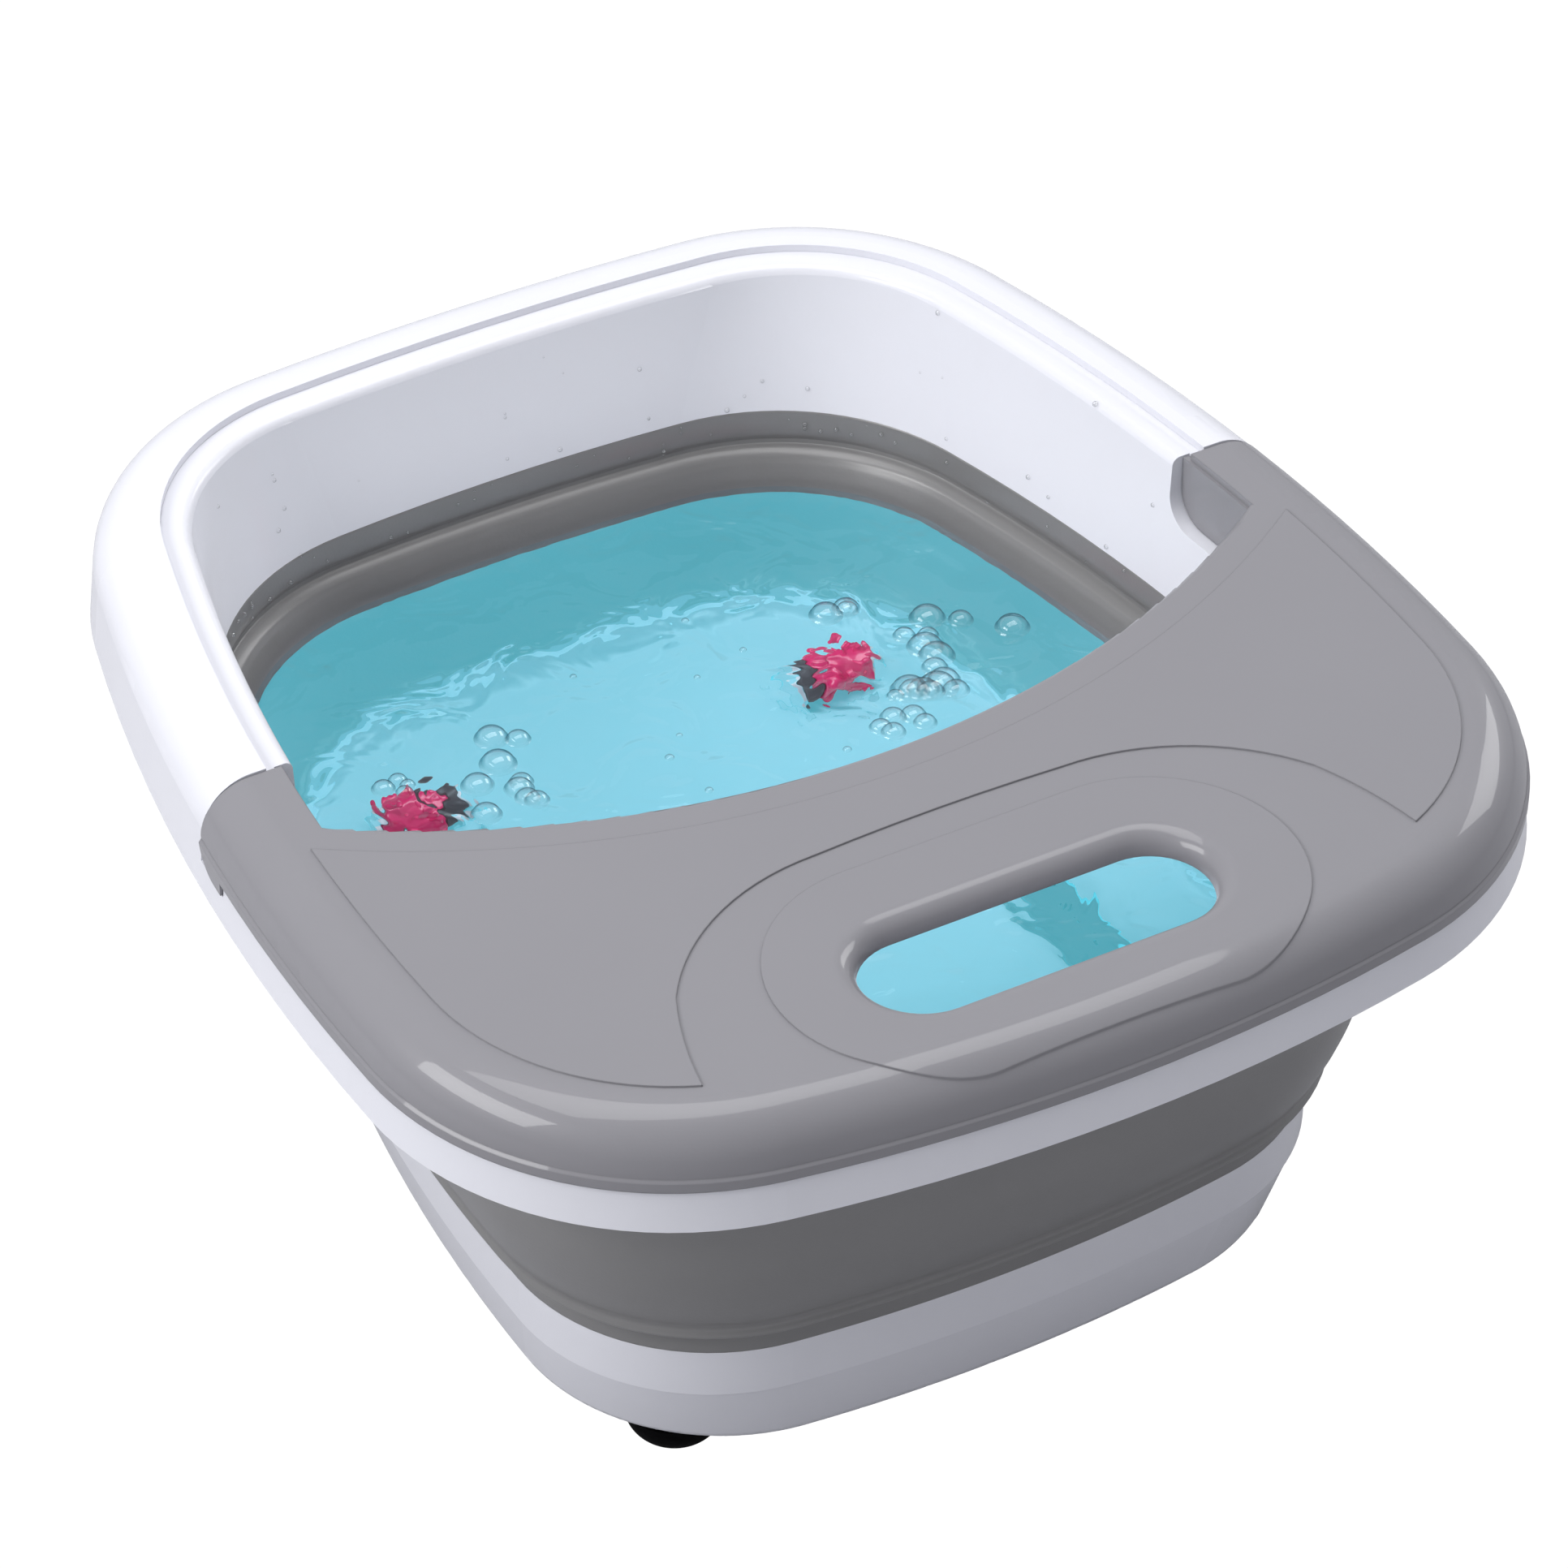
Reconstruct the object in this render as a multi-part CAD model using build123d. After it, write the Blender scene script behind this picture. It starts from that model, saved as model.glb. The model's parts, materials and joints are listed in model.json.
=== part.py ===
from build123d import *
import os
from collections import namedtuple
from math import atan2, cos, hypot, pi, sin, sqrt

# Collapsible foot spa basin. Millimetres, +Z up, -Y is the toe end under the splash cover.
# The origin is at the middle of the footprint, on the surface that the feet stand on.

# A plan is a closed outline of eight tangent arcs, symmetrical about the YZ plane.
Plan = namedtuple("Plan", "half_width half_length widest_y side_r front_r back_r front_corner_r back_corner_r")

RIM_PLAN = Plan(191.4, 210.0, -65.7, 774.0, 580.6, 1020.8, 101.0, 94.6)
COLLAR_FOOT_PLAN = Plan(159.2, 177.8, -65.7, 663.7, 548.0, 763.5, 88.0, 79.3)
BASE_PLAN = Plan(137.7, 156.9, -62.5, 683.0, 566.9, 900.0, 69.0, 74.0)

# Larger than the basin in every direction, for blocks that only cut or bound, and the depth of
# overlap that joins two forms or carries a cut clear of a face.
BEYOND = 300.0
OVERLAP = 1.0

# Heights
SKIRT_Z = 162.3
COVER_LIP_Z = 177.2
RIM_TOP_Z = 198.9
COVER_TOP_Z = 198.3
BAND_Z = 196.2
COLLAR_FOOT_Z = 143.4
BELLOWS_TOP_Z = 143.0
BASE_TOP_Z = 57.3
BASE_FOOT_Z = 12.0
FLOOR_Z = 52.0

# Wall thicknesses and clearances
SHELL_WALL = 3.0
COVER_WALL = 2.6
BELLOWS_WALL = 2.5
FIT_GAP = 0.4
RUNNING_GAP = 0.05

# Rim ring and tub collar
SKIRT_OUTSET = 3.6
RIM_BULLNOSE_R = 17.0
STEP_INSET = 20.5
COLLAR_TOP_INSET = 30.0
COLLAR_EDGE_R = 3.0
COLLAR_FLANGE_INSET = 9.0
COLLAR_FLANGE_DROP = 6.0
RIM_SCREW_COUNT = 10
RIM_SCREW_START = 18.0
RIM_SCREW_INSET = 13.0
RIM_SCREW_R = 1.5
RIM_SCREW_HEAD_R = 3.0
RIM_SCREW_HEAD_H = 2.0
RIM_SCREW_TOP_Z = 194.1
FLANGE_BOTTOM_Z = 186.2
CUFF_WALL = 2.5
CUFF_TOP_Z = 166.0
POCKET_WALL = 2.5
POCKET_MARGIN = 4.0

# Splash cover
COVER_OUTSET = 3.4
COVER_BEAD_STEP = 1.0
COVER_BEAD_CHAMFER = 0.9
COVER_BEAD_Z = 181.5
COVER_EDGE_R = 17.0
COVER_REAR_Y = -68.0
COVER_REAR_R = 287.0
COVER_END_Y = 14.5
COVER_END_R = 12.0
COVER_INNER_EDGE_INSET = 25.5
COVER_EAR_DROP = 4.5
COVER_EAR_LENGTH = 18.0
PANEL_STEP = 0.6
PANEL_INSET = 18.5
PANEL_REAR_OFFSET = 12.0
PAD_REACH = 28.0
FIELD_FRONT = ((0.0, -100.7), (43.0, -102.0), (85.5, -114.5), (110.0, -139.0), (117.0, -156.5), (123.5, -190.0))
SLOT_Y = -160.0
SLOT_HALF_STRAIGHT = 39.6
SLOT_END_R = 19.2
SLOT_LIP_R = 8.5
SLOT_LIP_DROP = 7.5
SLOT_EDGE_R = 6.8
REAR_EDGE_R = 2.2
TAB_INSET = 26.5
TAB_WALL = 2.2
TAB_BOTTOM_Z = 172.5
TAB_FRONT_Y = -45.0
TAB_REAR_Y = 17.0
TAB_CORNER_R = 11.0

# Base
BASE_EDGE_R = 5.8
BASE_STEP_Z = 39.5
BASE_STEP = 0.4
BASE_STEP_INSET = 0.35
BASE_FOOT_INSET = 6.7
BASE_FOOT_CORNER = 9.0
BASE_LIP_INSET = 10.0
LEDGE_Z = 43.0
LEDGE_WIDTH = 21.0
BOSS_R = 5.5
BOSS_HOLE_SPARE = 3.0
PAN_LIP_HEIGHT = 4.0
PAN_EDGE_R = 4.0
SEAL_INSET = 5.0
BOSS_HOLE_R = 1.6
BOSS_INSET = 10.0
SCREW_R = 1.55
SCREW_HEAD_R = 3.2
SCREW_HEAD_H = 2.2
SCREW_SINK = 0.1
SCREW_LENGTH = 16.0
BASE_SCREW_ANGLES = (20, 61, 119, 160, 205, 270, 335)

# Feet
FOOT_FRONT = (98.5, -113.5)
FOOT_BACK = (86.0, 112.0)
FOOT_R = 16.0
FOOT_BAND = 2.0
FOOT_BULGE = (13.4, 3.4)
FOOT_CONTACT_R = 8.0
FOOT_STEM_R = 4.0
FOOT_STEM_HEAD_R = 5.5
FOOT_STEM_TIP_R = 3.0
FOOT_STEM_TIP_H = 4.0

# Massage rollers
ROLLER_X = 75.5
ROLLER_Y = 97.0
ROLLER_AXIS_Z = 65.0
ROLLER_R = 9.0
ROLLER_EDGE_R = 2.0
DRUM_LENGTH = 18.0
HUB_LENGTH = 8.0
HUB_R = 7.5
NUB_REACH = 2.6
NUB_R = 3.2
NUB_RINGS = 2
NUBS_PER_RING = 5
AXLE_R = 2.0
CHEEK_WALL = 2.4
CHEEK_GAP = 0.5
CHEEK_HALF_DEPTH = 7.0
CHEEK_EDGE_R = 5.0
CHEEK_OVER_AXIS = 4.5
CRADLE_WALL = 1.4
CRADLE_HALF_DEPTH = 11.5

# Bubble bars
BUBBLE_BAR_X = 82.0
BUBBLE_BAR_Y = -52.0
BUBBLE_BAR_LENGTH = 76.0
BUBBLE_BAR_WIDTH = 17.0
BUBBLE_BAR_HEIGHT = 10.0
BUBBLE_BAR_WALL = 2.0
BUBBLE_BAR_EDGE_R = 3.0
DUCT_SIDE = 3.0
DUCT_END = 6.0
BUBBLE_HOLE_R = 0.9
BUBBLE_HOLES = 7
BUBBLE_HOLE_MARGIN = 4.0
NIPPLE_R = 4.0
NIPPLE_BORE_R = 2.0
NIPPLE_BOTTOM_Z = 42.0

# Air pump and hoses
PUMP_Y = -62.0
PUMP_R = 15.0
PUMP_LENGTH = 62.0
PUMP_AXIS_Z = 32.0
PUMP_PORT_X = 8.0
PUMP_EDGE_R = 2.0
SADDLE_HALF_LENGTH = 6.0
SADDLE_HALF_DEPTH = 14.0
SADDLE_DROP = 8.0
HOSE_R = 6.0
HOSE_FIT = 0.02
HOSE_BEND_R = 9.0

# Heater
HEATER_Y = 30.0
HEATER_SIZE = (96.0, 58.0, 7.0)
HEATER_CORNER_R = 6.0
STRAP_WALL = 1.5
STRAP_HALF_WIDTH = 8.0
STRAP_HALF_SPAN = 20.0
STRAP_TOE = 10.0
THERMOSTAT_R = 8.0
THERMOSTAT_H = 7.0
THERMOSTAT_EDGE_R = 1.2
THERMOSTAT_X = 28.0

# Control panel on the back wall
PANEL_Z = 32.0
PANEL_WIDTH = 94.0
PANEL_HEIGHT = 26.0
PANEL_FACE_Y = 157.6
PANEL_FRAME = 3.5
PANEL_DEPTH = 9.0
PANEL_CORNER_R = 3.0
PANEL_EDGE_R = 1.2
PANEL_SKIN = 2.5
BUTTON_PITCH = 27.0
BUTTON_R = 8.0
BUTTON_GAP = 0.25
BUTTON_FLANGE = 0.8
BUTTON_FLANGE_WALL = 1.5
BUTTON_EDGE_R = 1.0
BUTTON_STEM_R = 2.5
BUTTON_SLACK = 0.1
BUTTON_PROUD = 1.6
BUTTON_TRAVEL = 1.5
BOARD_Y = 141.0
BOARD_WALL = 1.6
BOARD_BELOW = 12.0
BOARD_ABOVE = 7.0
POST_INSET = 2.0
POST_HALF_WIDTH = 4.0
POST_TOP = 5.0
POST_FRONT = 3.0
POST_BACK = 2.0
SWITCH_SIZE = 6.0
SWITCH_DEPTH = 3.5
CORD_INLET_X = -62.0
CORD_INLET_Z = 30.0
CORD_BORE_R = 3.5
CORD_GROMMET_R = 6.5
CORD_GROMMET_FLANGE_R = 8.5
CORD_GROMMET_BACK = 8.0
CORD_GROMMET_FRONT = 5.7
CORD_FLANGE_WALL = 2.5


def tangent_centre(c1, r1, c2, r2, corner_r):
    """Centre of the circle of radius corner_r inside circles 1 and 2 that touches both, on their right."""
    dx = c2[0] - c1[0]
    dy = c2[1] - c1[1]
    gap = hypot(dx, dy)
    a = r1 - corner_r
    b = r2 - corner_r
    along = (a * a - b * b + gap * gap) / (2 * gap)
    across = sqrt(a * a - along * along)
    ux = dx / gap
    uy = dy / gap
    options = [(c1[0] + ux * along - s * uy * across, c1[1] + uy * along + s * ux * across) for s in (1, -1)]
    return max(options, key=lambda p: p[0])


def plan_arcs(plan, inset=0.0):
    """Centre, radius, start and end angle of the arcs of the right half, front to back."""
    side = (plan.half_width - plan.side_r, plan.widest_y)
    front = (0.0, plan.front_r - plan.half_length)
    back = (0.0, plan.half_length - plan.back_r)
    near = tangent_centre(front, plan.front_r, side, plan.side_r, plan.front_corner_r)
    far = tangent_centre(back, plan.back_r, side, plan.side_r, plan.back_corner_r)

    def heading(a, b):
        return atan2(b[1] - a[1], b[0] - a[0])

    front_end = heading(front, near)
    side_start = heading(side, near)
    side_end = heading(side, far)
    back_start = heading(back, far)
    return [
        (front, plan.front_r - inset, -pi / 2, front_end),
        (near, plan.front_corner_r - inset, front_end, side_start),
        (side, plan.side_r - inset, side_start, side_end),
        (far, plan.back_corner_r - inset, side_end, back_start),
        (back, plan.back_r - inset, back_start, pi / 2),
    ]


def on_arc(arc, share):
    centre, radius, start, end = arc
    angle = start + (end - start) * share
    return centre[0] + radius * cos(angle), centre[1] + radius * sin(angle)


def plan_wire(plan, inset=0.0, z=0.0):
    """The closed outline at a height: full front and back arcs, three arcs on each side."""
    arcs = plan_arcs(plan, inset)

    def edge(points):
        return Edge.make_three_point_arc(*[Vector(x, y, z) for x, y in points])

    right = [[on_arc(arc, share) for share in (0, 0.5, 1)] for arc in arcs]
    front_end = right[0][2]
    back_start = right[4][0]
    edges = [edge([(-front_end[0], front_end[1]), right[0][0], front_end])]
    edges += [edge(points) for points in right[1:4]]
    edges += [edge([back_start, right[4][2], (-back_start[0], back_start[1])])]
    edges += [edge([(-x, y) for x, y in reversed(points)]) for points in reversed(right[1:4])]
    return Wire(edges)


def plan_face(plan, inset=0.0, z=0.0):
    return Face(plan_wire(plan, inset, z))


def plan_block(plan, inset, low, high):
    """A straight-sided block with the plan's outline."""
    return extrude(plan_face(plan, inset, low), high - low, dir=(0, 0, 1))


def plan_loft(levels):
    """A solid through (plan, inset, z) levels, with straight walls between them."""
    return Solid.make_loft([plan_wire(plan, inset, z) for plan, inset, z in levels], ruled=True)


def mixed(low_plan, high_plan, share):
    return Plan(*[a + (b - a) * share for a, b in zip(low_plan, high_plan)])


def edges_at(solid, z, tolerance=0.02):
    return [e for e in solid.edges() if abs(e.center().Z - z) < tolerance and e.bounding_box().size.Z < tolerance]


def slab(front, low, back, high):
    """Everything between two planes across the basin and two heights."""
    return box_between((-BEYOND, front, low), (BEYOND, back, high))


def box_between(low, high):
    size = [b - a for a, b in zip(low, high)]
    centre = [(a + b) / 2 for a, b in zip(low, high)]
    return Pos(*centre) * Box(*size)


def cylinder_at(x, y, low, high, radius):
    return Pos(x, y, (low + high) / 2) * Cylinder(radius, high - low)


def on_plan(plan, inset, degrees):
    """Point of the outline in a direction from the centre, 0 along +X."""
    wire = plan_wire(plan, inset)
    angle = degrees * pi / 180
    ray = Edge.make_line(Vector(0, 0, 0), Vector(cos(angle), sin(angle), 0) * BEYOND)
    return wire.distance_to_with_closest_points(ray)[1]


def slot_face(reach, z):
    """The slot's outline, grown outwards by reach."""
    radius = SLOT_END_R + reach
    outline = SlotCenterToCenter(2 * SLOT_HALF_STRAIGHT, 2 * radius)
    return Pos(0, SLOT_Y, z) * outline


# ---------------------------------------------------------------- splash cover

def cover_dome(grow):
    """The cover's outer form, offset outwards by grow and closed underneath."""
    top = COVER_TOP_Z + grow
    form = plan_block(RIM_PLAN, -(COVER_OUTSET - COVER_BEAD_STEP) - grow, COLLAR_FOOT_Z, top)
    return fillet(edges_at(form, top), COVER_EDGE_R + grow)


def cover_bead():
    """The thicker band round the cover's lip."""
    outer = plan_block(RIM_PLAN, -COVER_OUTSET, COVER_LIP_Z - COVER_EAR_DROP, COVER_BEAD_Z)
    top_edges = edges_at(outer, COVER_BEAD_Z)
    return chamfer(top_edges, COVER_BEAD_CHAMFER)


def cover_reach():
    """Everything in front of the concave rear edge, with the two arms that run back along the rim."""
    rear_circle = cylinder_at(0, COVER_REAR_Y + COVER_REAR_R, 0, BEYOND, COVER_REAR_R)
    mouth = rear_circle & plan_block(RIM_PLAN, COVER_INNER_EDGE_INSET, 0, BEYOND)
    return slab(-BEYOND, 0, COVER_END_Y, BEYOND) - mouth


def cover_end_trim():
    """Rounds the lower rear corner of each arm, where the lip ends in a small ear."""
    low = COVER_LIP_Z - COVER_EAR_DROP
    centre_y = COVER_END_Y - COVER_END_R
    square = slab(centre_y, low - OVERLAP, COVER_END_Y + OVERLAP, low + COVER_END_R)
    round_end = Pos(0, centre_y, low + COVER_END_R) * Rot(0, 90, 0) * Cylinder(COVER_END_R, 2 * BEYOND)
    return (square - round_end) + slab(-BEYOND, low - OVERLAP, COVER_END_Y - COVER_EAR_LENGTH, COVER_LIP_Z)


def field_front(z):
    """The area in front of the crescent field, which flares round the slot to the field's two tips."""
    middle, shoulder, corner, hip, flank, tip = FIELD_FRONT

    def arc(*points):
        return Edge.make_three_point_arc(*[Vector(x, y, z) for x, y in points])

    def mirror_x(point):
        return -point[0], point[1]

    edges = [
        arc(tip, flank, hip),
        arc(hip, corner, shoulder),
        arc(shoulder, middle, mirror_x(shoulder)),
        arc(mirror_x(shoulder), mirror_x(corner), mirror_x(hip)),
        arc(mirror_x(hip), mirror_x(flank), mirror_x(tip)),
        arc(mirror_x(tip), (0.0, -BEYOND), tip),
    ]
    return Face(Wire(edges))


def raised_panels():
    """The crescent field and the pad round the slot, which stand a little above the cover's surface."""
    low = COVER_LIP_Z
    height = COVER_TOP_Z + 2 * PANEL_STEP - low
    rear = Pos(0, COVER_REAR_Y + COVER_REAR_R, low) * Circle(COVER_REAR_R + PANEL_REAR_OFFSET)
    field = plan_face(RIM_PLAN, PANEL_INSET, low) - rear - field_front(low)
    outline = extrude(field, height, dir=(0, 0, 1)) + extrude(slot_face(PAD_REACH, low), height, dir=(0, 0, 1))
    return outline & (cover_dome(PANEL_STEP) - cover_dome(-PANEL_STEP / 2))


def cover_tabs():
    """A locating tab on each side that drops inside the collar wall."""
    top = COVER_TOP_Z - COVER_WALL
    ring = plan_block(RIM_PLAN, TAB_INSET - TAB_WALL, TAB_BOTTOM_Z, top)
    ring = ring - plan_block(RIM_PLAN, TAB_INSET, TAB_BOTTOM_Z - OVERLAP, top + OVERLAP)
    profile = slab(TAB_FRONT_Y, TAB_BOTTOM_Z, TAB_REAR_Y, top)
    profile = fillet(profile.edges().filter_by(Axis.X).group_by(Axis.Z)[0], TAB_CORNER_R)
    return ring & profile


def splash_cover():
    shell = cover_dome(0) - cover_dome(-COVER_WALL)
    shell = shell + (cover_bead() - cover_dome(-COVER_WALL))
    shell = shell & cover_reach()
    shell = shell - slab(-BEYOND, 0, BEYOND, COVER_LIP_Z - COVER_EAR_DROP)
    shell = shell - cover_end_trim()
    lip = extrude(slot_face(SLOT_LIP_R, COVER_TOP_Z - SLOT_LIP_DROP), SLOT_LIP_DROP, dir=(0, 0, 1))
    shell = shell + lip + raised_panels()
    shell = shell - extrude(slot_face(0, COVER_LIP_Z), RIM_TOP_Z - COVER_LIP_Z + OVERLAP, dir=(0, 0, 1))
    slot_edges = [e for e in edges_at(shell, COVER_TOP_Z + PANEL_STEP) if on_slot(e)]
    shell = fillet(slot_edges, SLOT_EDGE_R)
    rear_edges = [e for e in edges_at(shell, COVER_TOP_Z) if on_rear(e)]
    shell = fillet(rear_edges, REAR_EDGE_R)
    return shell + cover_tabs()


def on_rear(edge):
    p = edge @ 0.5
    return abs(hypot(p.X, p.Y - COVER_REAR_Y - COVER_REAR_R) - COVER_REAR_R) < RUNNING_GAP


def on_slot(edge):
    p = edge @ 0.5
    along = max(abs(p.X) - SLOT_HALF_STRAIGHT, 0)
    return abs(hypot(along, p.Y - SLOT_Y) - SLOT_END_R) < RUNNING_GAP


# ---------------------------------------------------------------- rim

def seat_cut():
    """What the splash cover needs clear: everything outside its cavity, over its length."""
    region = slab(-BEYOND, COVER_LIP_Z - COVER_EAR_DROP - FIT_GAP, COVER_END_Y + FIT_GAP, BEYOND)
    lip = slab(-BEYOND, 0, COVER_END_Y - COVER_EAR_LENGTH - FIT_GAP, COVER_LIP_Z - FIT_GAP)
    return region - lip - cover_dome(-COVER_WALL - FIT_GAP)


def rim_ring():
    """The outer shell of the rim: a tapered skirt under a bullnose, hollow from below."""
    outer = plan_loft([(RIM_PLAN, -SKIRT_OUTSET, SKIRT_Z), (RIM_PLAN, 0, RIM_TOP_Z)])
    outer = fillet(edges_at(outer, RIM_TOP_Z), RIM_BULLNOSE_R)
    cavity = [(RIM_PLAN, SHELL_WALL - SKIRT_OUTSET, SKIRT_Z), (RIM_PLAN, SHELL_WALL, RIM_TOP_Z - SHELL_WALL)]
    inner = plan_loft(cavity)
    inner = fillet(edges_at(inner, RIM_TOP_Z - SHELL_WALL), RIM_BULLNOSE_R - SHELL_WALL)
    ring = outer - inner
    ring = ring - plan_block(RIM_PLAN, STEP_INSET, SKIRT_Z, RIM_TOP_Z + OVERLAP)
    crown = plan_block(RIM_PLAN, COLLAR_FLANGE_INSET, BAND_Z - 2 * SHELL_WALL, RIM_TOP_Z - SHELL_WALL / 2)
    crown = crown - plan_block(RIM_PLAN, STEP_INSET, SKIRT_Z, RIM_TOP_Z)
    ring = ring + crown
    return (ring - seat_cut()) - rim_screw_cut(RIM_SCREW_R + RUNNING_GAP)


def collar_wall(grow):
    """The collar's outer face as a solid block, offset outwards by grow."""
    foot = (COLLAR_FOOT_PLAN, -SHELL_WALL - grow, COLLAR_FOOT_Z)
    top = (RIM_PLAN, COLLAR_TOP_INSET - SHELL_WALL - grow, BAND_Z - COLLAR_FLANGE_DROP)
    return plan_loft([foot, top])


def tab_pocket():
    """The local thickening of the collar wall behind and under each tab recess."""
    inset = TAB_INSET - TAB_WALL - FIT_GAP - POCKET_WALL
    low = TAB_BOTTOM_Z - FIT_GAP - POCKET_WALL
    high = FLANGE_BOTTOM_Z + OVERLAP
    ring = plan_block(RIM_PLAN, inset, low, high)
    return ring & slab(TAB_FRONT_Y - POCKET_MARGIN, low, TAB_REAR_Y + POCKET_MARGIN, high)


def bellows_cuff():
    """The bellows' soft skin carried up the outside of the collar, under the skirt."""
    cuff = collar_wall(CUFF_WALL) - collar_wall(RUNNING_GAP)
    return cuff & slab(-BEYOND, COLLAR_FOOT_Z, BEYOND, CUFF_TOP_Z)


def tub_collar():
    """The inner wall of the rim, with a flat band on top and a flange under the rim ring."""
    bowl = plan_loft([(COLLAR_FOOT_PLAN, 0, COLLAR_FOOT_Z), (RIM_PLAN, COLLAR_TOP_INSET, BAND_Z)])
    flange_top = BAND_Z - 2 * SHELL_WALL - RUNNING_GAP
    flange = plan_block(RIM_PLAN, COLLAR_FLANGE_INSET, FLANGE_BOTTOM_Z, flange_top)
    band = plan_block(RIM_PLAN, STEP_INSET + RUNNING_GAP, FLANGE_BOTTOM_Z, BAND_Z)
    collar = collar_wall(0) + flange + band + tab_pocket()
    collar = collar - bowl
    collar = fillet([e for e in edges_at(collar, BAND_Z) if inner_edge(e)], COLLAR_EDGE_R)
    collar = collar - seat_cut()
    collar = collar - tab_recess()
    collar = collar - slot_room()
    return collar - rim_screw_cut(RIM_SCREW_R + FIT_GAP)


def inner_edge(edge):
    """Whether an edge is on the collar's mouth rather than against the rim ring."""
    mouth = plan_wire(RIM_PLAN, (STEP_INSET + COLLAR_TOP_INSET) / 2, BAND_Z)
    return Face(mouth).is_inside(edge @ 0.5)


def slot_room():
    """Room over the collar for the thicker lip of the cover's slot."""
    low = COVER_TOP_Z - SLOT_LIP_DROP - FIT_GAP
    return extrude(slot_face(SLOT_LIP_R + FIT_GAP, low), RIM_TOP_Z - low, dir=(0, 0, 1))


def tab_recess():
    """Room in the collar wall for the cover's tabs."""
    ring = plan_block(RIM_PLAN, TAB_INSET - TAB_WALL - FIT_GAP, TAB_BOTTOM_Z - FIT_GAP, RIM_TOP_Z)
    profile = slab(TAB_FRONT_Y - FIT_GAP, TAB_BOTTOM_Z - FIT_GAP, TAB_REAR_Y + FIT_GAP, RIM_TOP_Z)
    profile = fillet(profile.edges().filter_by(Axis.X).group_by(Axis.Z)[0], TAB_CORNER_R)
    return ring & profile


def rim_screw_places():
    turns = [RIM_SCREW_START + 360 * i / RIM_SCREW_COUNT for i in range(RIM_SCREW_COUNT)]
    return [on_plan(RIM_PLAN, RIM_SCREW_INSET, turn) for turn in turns]


def rim_screw_cut(radius):
    low = FLANGE_BOTTOM_Z - OVERLAP
    return [cylinder_at(p.X, p.Y, low, RIM_SCREW_TOP_Z, radius) for p in rim_screw_places()]


def rim_screws():
    """Ten screws driven up through the collar's flange into the rim ring."""
    screws = []
    for p in rim_screw_places():
        shank = cylinder_at(p.X, p.Y, FLANGE_BOTTOM_Z - OVERLAP, RIM_SCREW_TOP_Z - RUNNING_GAP, RIM_SCREW_R)
        head = cylinder_at(p.X, p.Y, FLANGE_BOTTOM_Z - RIM_SCREW_HEAD_H, FLANGE_BOTTOM_Z, RIM_SCREW_HEAD_R)
        screws.append(shank + head)
    return Compound(children=[s.solid() for s in screws])


# ---------------------------------------------------------------- bellows

# How far each face of the wall has moved from the base's outline to the collar's, at each height.
BELLOWS_OUTSIDE = (
    (BASE_TOP_Z, 0.00),
    (68.0, 0.00),
    (70.0, 0.12),
    (76.0, 0.30),
    (86.0, 0.49),
    (97.0, 0.64),
    (106.0, 0.72),
    (117.8, 0.78),
    (128.0, 0.91),
    (131.0, 0.965),
    (BELLOWS_TOP_Z, 1.0),
)
BELLOWS_INSIDE = (
    (BASE_TOP_Z, 0.00),
    (68.0, 0.00),
    (70.0, 0.08),
    (76.0, 0.24),
    (86.0, 0.44),
    (97.0, 0.60),
    (106.0, 0.66),
    (117.8, 0.69),
    (128.0, 0.90),
    (131.0, 0.965),
    (BELLOWS_TOP_Z, 1.0),
)


def bellows_face(profile, inward):
    """One face of the wall: flush with the base outside at the foot, and with the collar inside at the top."""
    levels = []
    for z, share in profile:
        levels.append((mixed(BASE_PLAN, COLLAR_FOOT_PLAN, share), inward - BELLOWS_WALL * share, z))
    return plan_loft(levels)


def bellows():
    """The folding wall between base and collar: one closed skin."""
    return bellows_face(BELLOWS_OUTSIDE, 0) - bellows_face(BELLOWS_INSIDE, BELLOWS_WALL)


# ---------------------------------------------------------------- base

def base_inset(z):
    """How far the base's wall stands inside its plan: nearly upright to the step, tapered below it."""
    if z > BASE_STEP_Z:
        return BASE_STEP_INSET * (BASE_TOP_Z - z) / (BASE_TOP_Z - BASE_STEP_Z)
    under_step = BASE_STEP_INSET + BASE_STEP
    return under_step + (BASE_FOOT_INSET - under_step) * (BASE_STEP_Z - z) / (BASE_STEP_Z - BASE_FOOT_Z)


def base_plan(z):
    """The base's plan at a height: its front corners grow rounder below the step."""
    fall = max(BASE_STEP_Z - z, 0) / (BASE_STEP_Z - BASE_FOOT_Z)
    return BASE_PLAN._replace(front_corner_r=BASE_PLAN.front_corner_r + BASE_FOOT_CORNER * min(fall, 1))


def base_form(inset, low, high):
    """The base's outline between two heights, offset inwards."""
    under_step = BASE_STEP_Z - BASE_STEP
    over_step = BASE_STEP_Z + RUNNING_GAP
    heights = [low] + [z for z in (under_step, over_step) if low < z < high] + [high]
    return plan_loft([(base_plan(z), inset + base_inset(z), z) for z in heights])


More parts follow.
